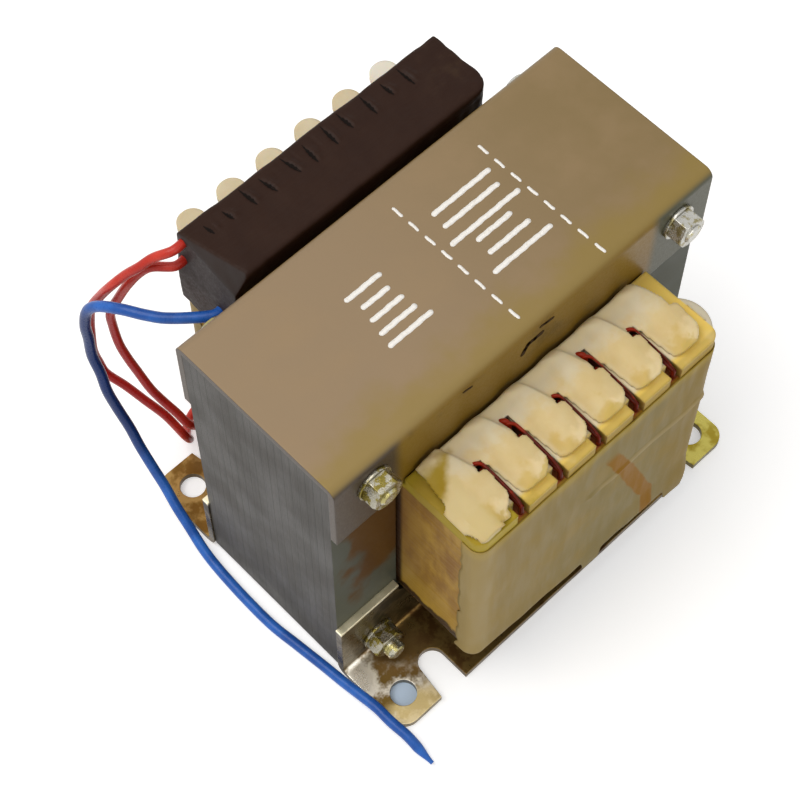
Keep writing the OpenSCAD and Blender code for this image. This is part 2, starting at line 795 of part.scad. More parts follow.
module terminal_wrap() {
    tunnel_x = wrap_x - wrap_end;
    tunnel_z = deck_z + rear_rise + wrap_gap;
    back_y = wrap_y + wrap_d;
    drape_x = coil_x + film_t + wrap_gap;
    crease_pitch = 2 * tunnel_x / (crease_count + 1);
    fold_n = cross([0, -wrap_d, -fold_h], [fold_w, -wrap_d, 0]);
    color([0.2, 0.14, 0.1])
        difference() {
            union() {
                intersection() {
                    translate([0, back_y, 0])
                        rotate([90, 0, 0])
                            linear_extrude(wrap_d)
                                difference() {
                                    translate([-wrap_x, deck_z])
                                        square([wrap_len, wrap_h]);
                                    translate([-tunnel_x, deck_z - past])
                                        square([2 * tunnel_x, tunnel_z - deck_z + past]);
                                }
                    rotate([90, 0, 90])
                        linear_extrude(wrap_len, center = true) {
                            translate([wrap_y, deck_z])
                                square([wrap_d, wrap_h - wrap_r]);
                            translate([wrap_y + wrap_r, deck_z])
                                square([wrap_d - 2 * wrap_r, wrap_h]);
                            for (y = [wrap_y + wrap_r, back_y - wrap_r])
                                translate([y, wrap_z - wrap_r])
                                    circle(wrap_r);
                        }
                    translate([0, wrap_y, deck_z])
                        linear_extrude(wrap_h) {
                            translate([-wrap_x, 0])
                                square([wrap_len - wrap_corner_r, wrap_d]);
                            translate([-wrap_x, wrap_corner_r])
                                square([wrap_len, wrap_d - wrap_corner_r]);
                            translate([wrap_x - wrap_corner_r, wrap_corner_r])
                                circle(wrap_corner_r);
                        }
                }
                translate([-wrap_x, 0, 0])
                    rotate([90, 0, 90])
                        linear_extrude(wrap_x - drape_x)
                            polygon([
                                [wrap_y, deck_z + past], [wrap_y, deck_z],
                                [wrap_y + drape_slant, deck_z - drape_drop],
                                [back_y, deck_z - drape_drop + past], [back_y, deck_z + past]
                            ]);
            }
            translate([-wrap_x, back_y, wrap_z])
                rotate([0, acos(fold_n[2] / norm(fold_n)), atan2(fold_n[1], fold_n[0])])
                    translate([-wrap_len, -wrap_len, 0])
                        cube([2 * wrap_len, 2 * wrap_len, wrap_h]);
            for (i = [1 : crease_count])
                translate([i * crease_pitch - tunnel_x, back_y - crease_l, wrap_z])
                    rotate([-90, 0, 0])
                        linear_extrude(crease_l + past)
                            polygon([[-crease_w / 2, -past], [crease_w / 2, -past],
                                [crease_w / 2, 0], [0, crease_depth], [-crease_w / 2, 0]]);
        }
}

// A lead swept along its route, a ring of corners at each point
module lead(path, d) {
    n = lead_sides;
    last = len(path) - 1;
    normal = normals(path, 0, [0, 0, 1]);
    corners = [
        for (i = [0 : last])
            for (k = [0 : n - 1])
                let (a = 360 * (k + 0.5) / n)
                path[i] + d / 2 * (cos(a) * normal[i] + sin(a) * cross(heading(path, i), normal[i]))
    ];
    walls = [
        for (i = [0 : last - 1])
            for (k = [0 : n - 1])
                let (a = i * n + k, b = i * n + (k + 1) % n)
                each [[a, a + n, b], [b, a + n, b + n]]
    ];
    ends = [[for (k = [0 : n - 1]) k], [for (k = [n - 1 : -1 : 0]) last * n + k]];
    polyhedron(corners, concat(walls, ends));
}

module blue_lead() {
    color([0.12, 0.28, 0.66])
        lead(route(blue_exit, blue_points, blue_d), blue_d);
}

module red_lead_upper() {
    color([0.58, 0.18, 0.19])
        lead(route(red_upper_exit, red_upper_points, red_d), red_d);
}

module red_lead_lower() {
    color([0.58, 0.18, 0.19])
        lead(route(red_lower_exit, red_lower_points, red_d), red_d);
}

e_laminations();
i_laminations();
top_clamp();
front_foot();
rear_foot();
clamp_bolts();
bolt_sleeves();
washers();
clamp_nuts();
bobbin();
primary_winding();
interwinding_insulation();
secondary_winding();
outer_tape();
front_film();
rear_film();
tap_wires();
terminal_wrap();
blue_lead();
red_lead_upper();
red_lead_lower();
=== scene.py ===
"""Open-frame mains transformer: finishes, soft pieces, leads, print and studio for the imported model.

Front is -Y and up is +Z. Sizes are in millimetres unless a name says otherwise.
"""

import math
from functools import partialmethod

import bpy
import numpy
from mathutils import Matrix, Vector, noise
from mathutils.bvhtree import BVHTree


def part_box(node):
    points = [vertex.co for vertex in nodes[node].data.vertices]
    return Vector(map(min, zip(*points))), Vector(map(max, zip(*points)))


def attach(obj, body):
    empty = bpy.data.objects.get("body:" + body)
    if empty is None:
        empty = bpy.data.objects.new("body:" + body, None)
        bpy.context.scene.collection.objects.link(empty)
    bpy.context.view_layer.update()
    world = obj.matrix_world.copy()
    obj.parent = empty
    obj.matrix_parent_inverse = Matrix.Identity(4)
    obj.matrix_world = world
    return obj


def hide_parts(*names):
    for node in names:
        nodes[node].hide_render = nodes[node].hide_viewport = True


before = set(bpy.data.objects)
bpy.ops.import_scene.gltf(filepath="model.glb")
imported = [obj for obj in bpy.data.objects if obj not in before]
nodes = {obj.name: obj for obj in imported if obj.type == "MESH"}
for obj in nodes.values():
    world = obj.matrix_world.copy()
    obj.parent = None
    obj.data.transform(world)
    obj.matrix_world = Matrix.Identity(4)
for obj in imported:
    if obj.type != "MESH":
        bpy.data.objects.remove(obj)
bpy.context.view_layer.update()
scene = bpy.context.scene

MM = 0.001


def box(node):
    """Lowest and highest corner of a node of the model, in millimetres."""
    low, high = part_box(node)
    return low / MM, high / MM


def ease(value, low, high):
    """0 up to low and 1 from high, smoothly between them."""
    t = min(max((value - low) / (high - low), 0), 1)
    return t * t * (3 - 2 * t)


# Camera, as fitted to the photograph
CAMERA_AT = Vector((-182.90, -173.88, 504.27))
CAMERA_BACK = Vector((-0.32821, -0.34151, 0.88071))
CAMERA_LENS = 94.09
CAMERA_SENSOR = 36
CAMERA_NEAREST = 10


def make_camera():
    back = CAMERA_BACK.normalized()
    right = Vector((0, 0, 1)).cross(back).normalized()
    up = back.cross(right)
    data = bpy.data.cameras.new("camera")
    data.lens = CAMERA_LENS
    data.sensor_width = CAMERA_SENSOR
    data.clip_start = CAMERA_NEAREST * MM
    camera = bpy.data.objects.new("camera", data)
    turn = Matrix((right, up, back)).transposed().to_4x4()
    camera.matrix_world = Matrix.Translation(CAMERA_AT * MM) @ turn
    scene.collection.objects.link(camera)
    scene.camera = camera


# Samples with which a shader rounds edges
EDGE_SAMPLES = 6
# Sockets of a mix node that hold colours
MIX_COLOURS = (6, 7)
MIX_RESULT = 2
# Ranges of noise that a place strays by, and that other values follow
STRAY_NOISE = (0.25, 0.75)
COMMON_NOISE = (0.3, 0.7)


class NodeTree:
    """The nodes of a material or of the sky."""

    def __init__(self, owner):
        owner.use_nodes = True
        self.tree = owner.node_tree

    def feed(self, socket, value):
        """Links an output to the socket, or sets a constant on it."""
        if isinstance(value, bpy.types.NodeSocket):
            self.tree.links.new(value, socket)
        else:
            socket.default_value = value

    def node(self, kind, inputs=None, **settings):
        """The outputs of a new node with these inputs and settings."""
        node = self.tree.nodes.new(kind)
        for key, value in settings.items():
            setattr(node, key, value)
        for key, value in (inputs or {}).items():
            self.feed(node.inputs[key], value)
        return node.outputs

    def math(self, operation, a, b=0):
        return self.node("ShaderNodeMath", {0: a, 1: b}, operation=operation)[0]

    plus = partialmethod(math, "ADD")
    minus = partialmethod(math, "SUBTRACT")
    times = partialmethod(math, "MULTIPLY")
    larger = partialmethod(math, "MAXIMUM")
    size = partialmethod(math, "ABSOLUTE")

    def span(self, value, low, high, at_low=0, at_high=1):
        """The value carried from low..high to at_low..at_high, smoothly and held at both ends."""
        inputs = dict(enumerate((value, low, high, at_low, at_high)))
        return self.node("ShaderNodeMapRange", inputs, interpolation_type="SMOOTHSTEP")[0]

    def seen_directly(self):
        """1 for what the camera sees, also in a reflection or through glass, and 0 for the light given."""
        rays = self.node("ShaderNodeLightPath")
        indirectly = self.larger(rays["Is Glossy Ray"], rays["Is Transmission Ray"])
        return self.larger(rays["Is Camera Ray"], indirectly)


class Shader(NodeTree):
    """A procedural material in the making. Its patterns are laid out in the frame's own metres."""

    def __init__(self, name):
        self.material = bpy.data.materials.new(name)
        super().__init__(self.material)
        self.bsdf = self.tree.nodes["Principled BSDF"]
        coordinates = self.node("ShaderNodeTexCoord")
        self.place = coordinates["Object"]
        self.x, self.y, self.z = self.node("ShaderNodeSeparateXYZ", {0: self.place})
        self.nx, self.ny, self.nz = self.node("ShaderNodeSeparateXYZ", {0: coordinates["Normal"]})

    def along(self, value, low, high, at_low=0, at_high=1):
        """As span, for a place between two others given in millimetres."""
        return self.span(value, low * MM, high * MM, at_low, at_high)

    def past(self, value, low, high, share=1):
        """0 up to the place low, and the share from the place high on."""
        return self.along(value, low, high, 0, share)

    def until(self, value, low, high, share=1):
        """The share up to the place low, and 0 from the place high on."""
        return self.along(value, low, high, share, 0)

    def noise(self, size, detail=3, roughness=0.5, stretch=(1, 1, 1)):
        """Noise with features about this many millimetres across, longer by stretch along each axis."""
        scale = [1 / s for s in stretch]
        place = self.node("ShaderNodeMapping", {"Vector": self.place, "Scale": scale})[0]
        inputs = {"Vector": place, "Scale": 1 / (size * MM), "Detail": detail, "Roughness": roughness}
        return self.node("ShaderNodeTexNoise", inputs)[0]

    def strayed(self, value, stray, distance):
        """A place moved about by noise, this many millimetres to either side."""
        return self.plus(value, self.span(stray, *STRAY_NOISE, -distance * MM, distance * MM))

    def wander(self, stray, low=0, high=1):
        """A value that goes from low to high with noise."""
        return self.span(stray, *COMMON_NOISE, low, high)

    def mix(self, share, a, b):
        """Colour a, and colour b where share is 1."""
        inputs = {"Factor": share}
        for socket, colour in zip(MIX_COLOURS, (a, b)):
            inputs[socket] = colour if isinstance(colour, bpy.types.NodeSocket) else (*colour, 1)
        return self.node("ShaderNodeMix", inputs, data_type="RGBA")[MIX_RESULT]

    def bump(self, height, depth, edge=0):
        """Bump of this depth in millimetres, with height from 0 to 1, over edges rounded to a radius."""
        inputs = {"Strength": 1, "Distance": depth * MM, "Height": height}
        if edge:
            inputs["Normal"] = self.node("ShaderNodeBevel", {"Radius": edge * MM}, samples=EDGE_SAMPLES)[0]
        self.feed(self.bsdf.inputs["Normal"], self.node("ShaderNodeBump", inputs)[0])

    def finish(self, colour, roughness, shine=0.5, **inputs):
        """The material, with these values and any other sockets, named with _ for a space."""
        inputs.update(Base_Color=colour, Roughness=roughness, Specular_IOR_Level=shine)
        for key, value in inputs.items():
            socket = self.bsdf.inputs[key.replace("_", " ")]
            if isinstance(value, tuple) and socket.type == "RGBA":
                value = (*value, 1)
            self.feed(socket, value)
        return self.material


# Distance between the edges of the core's plates
PLATE = 0.5


def core_steel():
    """Varnished plates: their edges in fine lines on the ends, and dark faces with a painted brown reflection
    of the coil beside it.
    """
    s = Shader("core_steel")
    blotch = s.noise(12, 4)
    streak = s.noise(0.7, 3, 0.6, (40, 1, 60))
    wave = s.math("SINE", s.times(s.y, math.pi / (PLATE * MM)))
    edge = s.math("POWER", s.size(wave), 0.35)
    on_end = s.span(s.size(s.nx), 0.5, 0.9)
    end = s.mix(streak, (0.046, 0.042, 0.036), (0.102, 0.094, 0.082))
    end = s.mix(s.minus(1, edge), end, (0.035, 0.033, 0.033))
    face = s.mix(blotch, (0.05, 0.055, 0.038), (0.105, 0.108, 0.08))
    # Painted reflection of the coil's brown tape on the glossy faces beside it, fading towards the right.
    coil_reflection_zone = s.times(
        s.past(s.strayed(s.x, blotch, 5), -57, -52), s.past(s.strayed(s.z, blotch, 8), 36, 46)
    )
    stain = s.times(coil_reflection_zone, s.until(s.x, 0, 30))
    face = s.mix(stain, face, s.mix(blotch, (0.07, 0.026, 0.002), (0.095, 0.044, 0.006)))
    s.bump(s.plus(s.times(edge, on_end), s.times(blotch, 0.4)), 0.03)
    return s.finish(s.mix(on_end, face, end), s.wander(blotch, 0.34, 0.48), shine=0.07)


def clamp_steel():
    """Lacquered sheet steel, warm beige on top; its sides carry painted reflection and shade: brown on the
    flanges, darker low down, and dark on the lugs.
    """
    s = Shader("clamp_steel")
    cloud = s.noise(14, 4, 0.55)
    grain = s.noise(0.5, 2)
    top = s.mix(s.past(s.x, -30, 60), (0.3, 0.212, 0.124), (0.24, 0.166, 0.072))
    top = s.mix(s.span(cloud, 0.35, 0.75, 0, 0.4), top, (0.33, 0.225, 0.12))
    top = s.mix(s.until(s.strayed(s.y, cloud, 4), -23, -12, 0.7), top, (0.285, 0.198, 0.045))
    # Flanges: the comb's brown as painted reflection, darker towards the comb as painted shade.
    flange = s.mix(s.past(s.z, 85, 103), (0.19, 0.108, 0.01), (0.215, 0.125, 0.012))
    flange = s.mix(s.span(cloud, 0.55, 0.75, 0, 0.5), flange, (0.06, 0.034, 0.008))
    # Lugs: painted reflection, dark brown at the left and grey-green at the right.
    lug_painted_reflection = s.mix(s.past(s.x, -20, 20), (0.066, 0.046, 0.03), (0.085, 0.084, 0.052))
    # Side faces take the painted reflection and shade; the top keeps the steel's own beige.
    side = s.mix(s.past(s.size(s.x), 39, 43), flange, lug_painted_reflection)
    on_side = s.span(s.size(s.nz), 0.3, 0.95, 1, 0)
    s.bump(s.plus(cloud, s.times(grain, 0.25)), 0.05, 0.5)
    return s.finish(s.mix(on_side, top, side), s.wander(grain, 0.36, 0.46), Metallic=0.1, shine=0.25)


# How much farther out the strip's painted shade reaches beside the bend of the front foot
BEND_SHADE_REACH = 8


def foot_steel():
    """Yellow-passivated zinc stained in patches, with painted highlights on the front tabs and the upright's
    top edge, and painted shade on the strip under the coil and on the cut edges.
    """
    s = Shader("foot_steel")
    drift = s.noise(8, 4, 0.6)
    fine = s.noise(0.8, 3)
    patch = s.span(drift, 0.38, 0.52)
    # The strip under the coil: browner as painted shade under the coil's overhang, lighter past the coil's
    # left end, with stains in patches.
    strip = s.mix(patch, (0.11, 0.052, 0.014), (0.26, 0.165, 0.048))
    strip = s.mix(s.until(s.x, -44, -36, 0.6), strip, (0.34, 0.205, 0.072))
    # Painted highlights: near-white glints on the front tabs; at the rear tabs the same noise gives only
    # patches of tone.
    glint_and_patch = s.span(drift, 0.36, 0.49)
    tab = s.mix(glint_and_patch, (0.2, 0.125, 0.03), (1, 0.95, 0.83))
    tab = s.mix(s.until(s.strayed(s.y, drift, 3), -45, -42, 0.75), tab, (0.86, 0.7, 0.34))
    tab = s.mix(s.past(s.x, 20, 40), tab, s.mix(patch, (0.36, 0.27, 0.03), (0.56, 0.48, 0.11)))
    tab = s.mix(s.past(s.y, -5, 5), tab, s.mix(glint_and_patch, (0.18, 0.09, 0.018), (0.38, 0.235, 0.075)))
    at_bend = s.times(s.past(s.y, -42, -30), s.until(s.y, -5, 5, BEND_SHADE_REACH * MM))
    from_strip = s.minus(s.strayed(s.size(s.x), drift, 4), at_bend)
    plate = s.mix(s.past(from_strip, 40, 48), strip, tab)
    # Painted shade on the plate's cut edges.
    edge_shade = s.span(s.size(s.nz), 0.3, 0.7, 0.85, 0)
    plate = s.mix(edge_shade, plate, (0.075, 0.048, 0.014))
    upright = s.mix(patch, (0.032, 0.022, 0.008), (0.11, 0.08, 0.034))
    # Painted highlight along the upright's top edge.
    upright = s.mix(s.past(s.z, 24.9, 25.5), upright, (1, 0.93, 0.68))
    s.bump(s.plus(drift, s.times(fine, 0.2)), 0.12, 0.3)
    return s.finish(
        s.mix(s.past(s.z, 2.5, 4.5), plate, upright),
        s.span(drift, 0.35, 0.65, 0.42, 0.25),
        Metallic=0.75,
        shine=0.15,
    )


def zinc(name, pale, stain):
    """Zinc-plated steel for bolts, washers and nuts, stained yellow-green in places, most at the left."""
    s = Shader(name)
    drift = s.noise(2.6, 4, 0.6)
    fine = s.noise(0.3, 2)
    s.bump(s.plus(s.times(drift, 2), fine), 0.05, 0.25)
    stained = s.plus(s.span(drift, 0.46, 0.6), s.along(s.x, -20, 20, 0.35, -0.2))
    return s.finish(s.mix(stained, pale, stain), s.wander(fine, 0.2, 0.36), Metallic=0.85)


# Slots of the comb, and the upper edge of the skirt at its left end: x = SKIRT_START + y * SKIRT_SLANT
SLOT_PITCH = 12.5
SKIRT_START = 8.2
SKIRT_SLANT = 1.23


def tongue_nylon(s, cloud):
    """The front tongues: milky, lighter towards their roots partly as painted light, more yellow at their
    noses with a painted highlight on each nose's right half, and more yellow at the left end.
    """
    stray_y = s.strayed(s.y, cloud, 2.5)
    milk = s.mix(cloud, (0.64, 0.47, 0.195), (0.77, 0.62, 0.34))
    # Lighter towards the roots, partly painted light against the clamp's shade there.
    root = s.mix(cloud, (0.64, 0.55, 0.38), (0.76, 0.68, 0.5))
    milk = s.mix(s.past(stray_y, -37, -31, 0.75), milk, root)
    milk = s.mix(s.past(s.y, -31, -28, 0.8), milk, (0.86, 0.72, 0.44))
    from_slot = s.strayed(s.math("FLOORED_MODULO", s.x, SLOT_PITCH * MM), cloud, 1.2)
    # Each nose is yellow, with cream on its right half as a painted highlight.
    nose = s.mix(s.past(from_slot, 5.5, 8), (0.63, 0.44, 0.12), (0.85, 0.68, 0.39))
    milk = s.mix(s.until(stray_y, -45.5, -42.5, 0.75), milk, nose)
    milk = s.mix(s.until(stray_y, -47.6, -46.2, 0.7), milk, (0.64, 0.46, 0.12))
    return s.mix(s.until(s.strayed(s.x, cloud, 1.5), -35, -31, 0.8), milk, (0.64, 0.51, 0.25))


def deck_nylon(s, cloud):
    """The thin edges of the deck: amber, painted lighter just in front of the tongues' noses against their
    shade, darker on the lower side and greener at the left.
    """
    amber = s.mix(cloud, (0.56, 0.38, 0.06), (0.68, 0.5, 0.15))
    # Painted light in front of the noses, against the shade they cast.
    amber = s.mix(s.past(s.y, -48.6, -47.6, 0.8), amber, (0.86, 0.62, 0.14))
    amber = s.mix(s.until(s.z, 82.6, 83.8), amber, (0.4, 0.26, 0.04))
    green = s.mix(cloud, (0.36, 0.25, 0.01), (0.48, 0.355, 0.035))
    return s.mix(s.past(s.strayed(s.x, cloud, 3), -27, -21), green, amber)


def beside_skirt(s, cloud):
    """1 on the triangle of the deck that the skirt leaves free, and 0 elsewhere."""
    skirt_edge = s.plus(s.times(s.y, SKIRT_SLANT), SKIRT_START * MM)
    free = s.until(s.strayed(s.minus(s.x, skirt_edge), cloud, 1), -2.4, 1.2)
    free = s.times(free, s.until(s.strayed(s.y, cloud, 1), -31, -27.5))
    return s.times(free, s.until(s.x, -28, -26.5))


def inside_slot(s):
    """1 inside the slots, and 0 elsewhere."""
    inside = s.until(s.math("PINGPONG", s.x, SLOT_PITCH / 2 * MM), 0.9, 1.3)
    inside = s.times(inside, s.until(s.z, 83.2, 84))
    return s.times(inside, s.until(s.size(s.x), 27, 28))


def bobbin_nylon():
    """Natural nylon: milky tongues and thin yellow edges, with painted light and shade: lighter hollows, and
    darker slots, free deck and lower flange.
    """
    s = Shader("bobbin_nylon")
    cloud = s.noise(5, 3)
    # Lower surfaces and hollows: pale, painted lighter against the shade that falls in them.
    hollows_painted_light = s.mix(cloud, (0.68, 0.56, 0.35), (0.8, 0.72, 0.52))
    raised = s.past(s.strayed(s.z, cloud, 0.4), 83.9, 85.4)
    tint = s.mix(raised, hollows_painted_light, tongue_nylon(s, cloud))
    at_edge = s.larger(s.past(s.size(s.y), 46, 47.6), s.past(s.size(s.x), 33, 35.5))
    thin = s.times(at_edge, s.until(s.strayed(s.z, cloud, 0.3), 84.1, 84.9))
    tint = s.mix(thin, tint, deck_nylon(s, cloud))
    # The free deck beside the skirt: its own yellow, darkened as painted shade from the clamp.
    shaded_deck_yellow = s.mix(cloud, (0.36, 0.235, 0.016), (0.48, 0.34, 0.05))
    tint = s.mix(beside_skirt(s, cloud), tint, shaded_deck_yellow)
    # Painted shade in the narrow slots, tinted like the wire in them.
    tint = s.mix(inside_slot(s), tint, (0.09, 0.02, 0.008))
    right_end = s.past(s.x, 39.3, 39.7)
    tint = s.mix(right_end, tint, (0.62, 0.56, 0.42))
    rear = s.mix(cloud, (0.66, 0.53, 0.31), (0.82, 0.73, 0.53))
    rear = s.mix(s.past(s.x, 22, 30, 0.8), rear, (0.92, 0.88, 0.78))
    tint = s.mix(s.past(s.y, 49, 52), tint, rear)
    # Painted shade on the lower flange under the coil.
    lower_flange = s.until(s.z, 30, 40)
    tint = s.mix(lower_flange, tint, (0.055, 0.028, 0.008))
    s.bump(cloud, 0.05, 1)
    return s.finish(
        tint,
        roughness=0.5,
        shine=0.16,
        Subsurface_Weight=0.2,
        Subsurface_Radius=(1, 0.6, 0.25),
        Subsurface_Scale=1.5 * MM,
    )


def coil_tape():
    """Amber polyester tape in turns, near black beside the core and at the foot as painted shade in the gaps.
    """
    s = Shader("coil_tape")
    drift = s.noise(6, 4, 0.6, (1, 1, 2))
    turn = s.noise(1.2, 2, 0.5, (40, 40, 1))
    amber = s.mix(s.span(drift, 0.35, 0.65), (0.27, 0.122, 0.008), (0.45, 0.255, 0.028))
    amber = s.mix(s.until(s.size(s.y), 26, 36, 0.55), amber, (0.285, 0.15, 0.05))
    amber = s.mix(s.until(s.z, 26, 48, 0.6), amber, (0.54, 0.33, 0.045))
    # Painted shade in the gap beside the core and low down at the foot.
    gap_shade_beside_core = s.until(s.size(s.y), 24.4, 26)
    low = s.until(s.strayed(s.z, drift, 1.5), 24.6, 26.4)
    s.bump(s.plus(s.times(turn, 0.3), drift), 0.08)
    return s.finish(
        s.mix(s.larger(gap_shade_beside_core, low), amber, (0.035, 0.014, 0.004)),
        s.wander(turn, 0.36, 0.5),
        shine=0.18,
    )


# Crease and amber strip of the front film: places along X and Z
CREASE = (Vector((-2, 57.3)), Vector((38, 56.4)))
STRIP_TOP = Vector((3.7, 70.6))
STRIP_SLOPE = 0.42
STRIP_LIMIT = 22.5


def coil_film():
    """Clear film gone milky over the tape, with the edge of an amber strip showing through in front, and
    painted highlights along its crease and round its left corner.
    """
    s = Shader("coil_film")
    drift = s.noise(12, 4, 0.6)
    ripple = s.noise(3, 3, 0.5, (1, 1, 5))
    front = s.until(s.y, -1, 1)
    milky = s.mix(s.past(s.x, -35, 10), (0.292, 0.21, 0.074), (0.248, 0.19, 0.072))
    milky = s.mix(s.span(drift, 0.4, 0.75, 0, 0.6), milky, (0.31, 0.206, 0.045))
    milky = s.mix(s.past(s.x, 20, 36, 0.6), milky, (0.285, 0.188, 0.044))
    milky = s.mix(s.past(s.strayed(s.z, drift, 1), 74.5, 79, 0.7), milky, (0.42, 0.29, 0.04))
    # Painted highlight where the film turns round the left corner.
    milky = s.mix(s.until(s.x, -37, -31, 0.5), milky, (0.43, 0.32, 0.14))
    slope = (CREASE[1].y - CREASE[0].y) / (CREASE[1].x - CREASE[0].x)
    fall = s.times(s.minus(s.x, CREASE[0].x * MM), slope)
    crease_away = s.size(s.minus(s.minus(s.z, CREASE[0].y * MM), fall))
    # Painted highlight along the crease.
    crease_highlight = s.times(s.until(crease_away, 0.4, 1.8, 0.6), s.past(s.x, -2, 3))
    milky = s.mix(s.times(crease_highlight, front), milky, (0.44, 0.34, 0.17))
    strip_x = s.times(s.minus(STRIP_TOP.y * MM, s.z), STRIP_SLOPE)
    strip_x = s.plus(strip_x, STRIP_TOP.x * MM)
    strip_x = s.strayed(s.math("MINIMUM", strip_x, STRIP_LIMIT * MM), drift, 0.6)
    from_strip = s.size(s.minus(s.x, strip_x))
    strip = s.times(s.until(from_strip, 2, 2.8), s.until(s.z, 66, 71))
    strip = s.times(strip, front)
    s.bump(s.plus(ripple, drift), 0.1)
    return s.finish(s.mix(strip, milky, (0.27, 0.122, 0.002)), s.wander(ripple, 0.4, 0.55), shine=0.06)


def wrap_tape():
    """Dark vinyl tape with a soft shine, and a painted sheen that greys its left end."""
    s = Shader("wrap_tape")
    drift = s.noise(7, 4, 0.6)
    weave = s.noise(0.6, 2, 0.5, (8, 1, 1))
    worn = s.times(s.past(s.x, 26, 40), s.span(drift, 0.5, 0.7, 0, 0.5))
    dark = s.mix(drift, (0.019, 0.007, 0.004), (0.031, 0.013, 0.007))
    # Painted sheen: the left end greyer, most near the top.
    on_end = s.times(s.span(s.nx, -0.9, -0.4, 0.9, 0), s.along(s.z, 84, 94, 0.35, 1))
    dark = s.mix(on_end, dark, (0.052, 0.044, 0.042))
    s.bump(s.plus(drift, s.times(weave, 0.15)), 0.12)
    return s.finish(s.mix(worn, dark, (0.05, 0.028, 0.014)), s.wander(weave, 0.45, 0.6), shine=0.12)


def sleeve(name, dark, light, hanging_shade):
    """Soft plastic insulation on a lead, darker where it hangs down, as painted shade."""
    s = Shader(name)
    drift = s.noise(6, 3)
    rubbed = s.noise(0.5, 3, 0.6)
    s.bump(s.plus(drift, s.times(rubbed, 0.2)), 0.06)
    # Painted shade where the lead hangs down beside the core.
    hangs_in_shade = s.times(s.past(s.z, 10, 36), s.until(s.z, 76, 85))
    return s.finish(
        s.mix(hangs_in_shade, s.mix(s.wander(drift), dark, light), hanging_shade),
        s.wander(rubbed, 0.25, 0.36),
        shine=0.3,
    )


def enamel(name, dark, light, metallic):
    """Enamelled copper wire, redder at the comb's roots."""
    s = Shader(name)
    drift = s.noise(1.5, 3)
    at_root = s.past(s.strayed(s.y, drift, 1), -38, -36)
    s.bump(drift, 0.05)
    return s.finish(
        s.mix(s.larger(at_root, s.span(drift, 0.5, 0.8)), dark, light),
        roughness=0.35,
        Metallic=metallic,
        shine=0.15,
    )


def grainy(name, grain, depth, dark, light, **values):
    """Two tones in a fine grain, such as pressed paper or a worn patch."""
    s = Shader(name)
    pattern = s.noise(*grain)
    s.bump(pattern, depth)
    return s.finish(s.mix(pattern, dark, light), **values)


def ink():
    """White printing ink, thinner in places."""
    s = Shader("print_ink")
    worn = s.noise(0.8, 4, 0.7)
    s.bump(worn, 0.01)
    return s.finish(s.mix(s.span(worn, 0.25, 0.5), (0.8, 0.74, 0.64), (0.96, 0.93, 0.88)), roughness=0.6)


def paper(name, dark, light):
    """Pressed insulating paper."""
    return grainy(name, (1, 5, 0.7, (1, 1, 4)), 0.05, dark, light, roughness=0.75)


def scuff(name, dark, light):
    """Dark marks: bare patches in the lacquer, and the painted shadow in the tape's folds."""
    return grainy(name, (0.9, 3, 0.6), 0.02, dark, light, roughness=0.8, shine=0.1)


MATERIALS = {
    "core_steel": core_steel(),
    "clamp_steel": clamp_steel(),
    "foot_steel": foot_steel(),
    "bolt_steel": zinc("bolt_steel", (0.55, 0.54, 0.5), (0.4, 0.35, 0.14)),
    "nut_steel": zinc("nut_steel", (0.5, 0.49, 0.45), (0.22, 0.175, 0.035)),
    "sleeve_paper": paper("sleeve_paper", (0.42, 0.28, 0.13), (0.6, 0.44, 0.24)),
    "bobbin_nylon": bobbin_nylon(),
    "winding_copper": enamel("winding_copper", (0.42, 0.12, 0.04), (0.62, 0.24, 0.09), 0.7),
    "insulation_paper": paper("insulation_paper", (0.55, 0.4, 0.16), (0.7, 0.55, 0.28)),
    "coil_tape": coil_tape(),
    "coil_film": coil_film(),
    "wire_enamel": enamel("wire_enamel", (0.085, 0.006, 0.001), (0.26, 0.016, 0.003), 0),
    "wrap_tape": wrap_tape(),
    "blue_sleeve": sleeve("blue_sleeve", (0.014, 0.085, 0.37), (0.028, 0.15, 0.56), (0.005, 0.028, 0.145)),
    "red_sleeve": sleeve("red_sleeve", (0.48, 0.024, 0.013), (0.66, 0.05, 0.028), (0.46, 0.02, 0.018)),
    "print_ink": ink(),
    "scuff": scuff("scuff", (0.018, 0.009, 0.004), (0.07, 0.04, 0.016)),
    # Painted shadow for the tape's folds.
    "tape_fold_shadow": scuff("tape_fold_shadow", (0.003, 0.002, 0.002), (0.01, 0.006, 0.004)),
}

# The slot that each node of the model takes its finish from, and how far its edges are rounded
NODE_LOOKS = {
    "e_laminations": ("core_steel", 0),
    "i_laminations": ("core_steel", 0),
    "top_clamp": ("clamp_steel", 0),
    "front_foot": ("foot_steel", 0),
    "rear_foot": ("foot_steel", 0),
    "clamp_bolts": ("bolt_steel", 0.12),
    "washers": ("nut_steel", 0.12),
    "clamp_nuts": ("nut_steel", 0.15),
    "bolt_sleeves": ("sleeve_paper", 0),
    "bobbin": ("bobbin_nylon", 0.2),
    "primary_winding": ("winding_copper", 0),
    "interwinding_insulation": ("insulation_paper", 0),
    "secondary_winding": ("winding_copper", 0),
    "outer_tape": ("coil_tape", 0),
    "tap_wires": ("wire_enamel", 0),
}
SHARP_ANGLE = math.radians(35)
EDGE_SEGMENTS = 2
WELD_DISTANCE = 0.001


def soften(node, width):
    """Rounds the node's sharp edges by modifiers alone."""
    weld = node.modifiers.new("weld", "WELD")
    weld.merge_threshold = WELD_DISTANCE * MM
    bevel = node.modifiers.new("soft_edges", "BEVEL")
    bevel.width = width * MM
    bevel.segments = EDGE_SEGMENTS
    bevel.limit_method = "ANGLE"
    bevel.angle_limit = SHARP_ANGLE


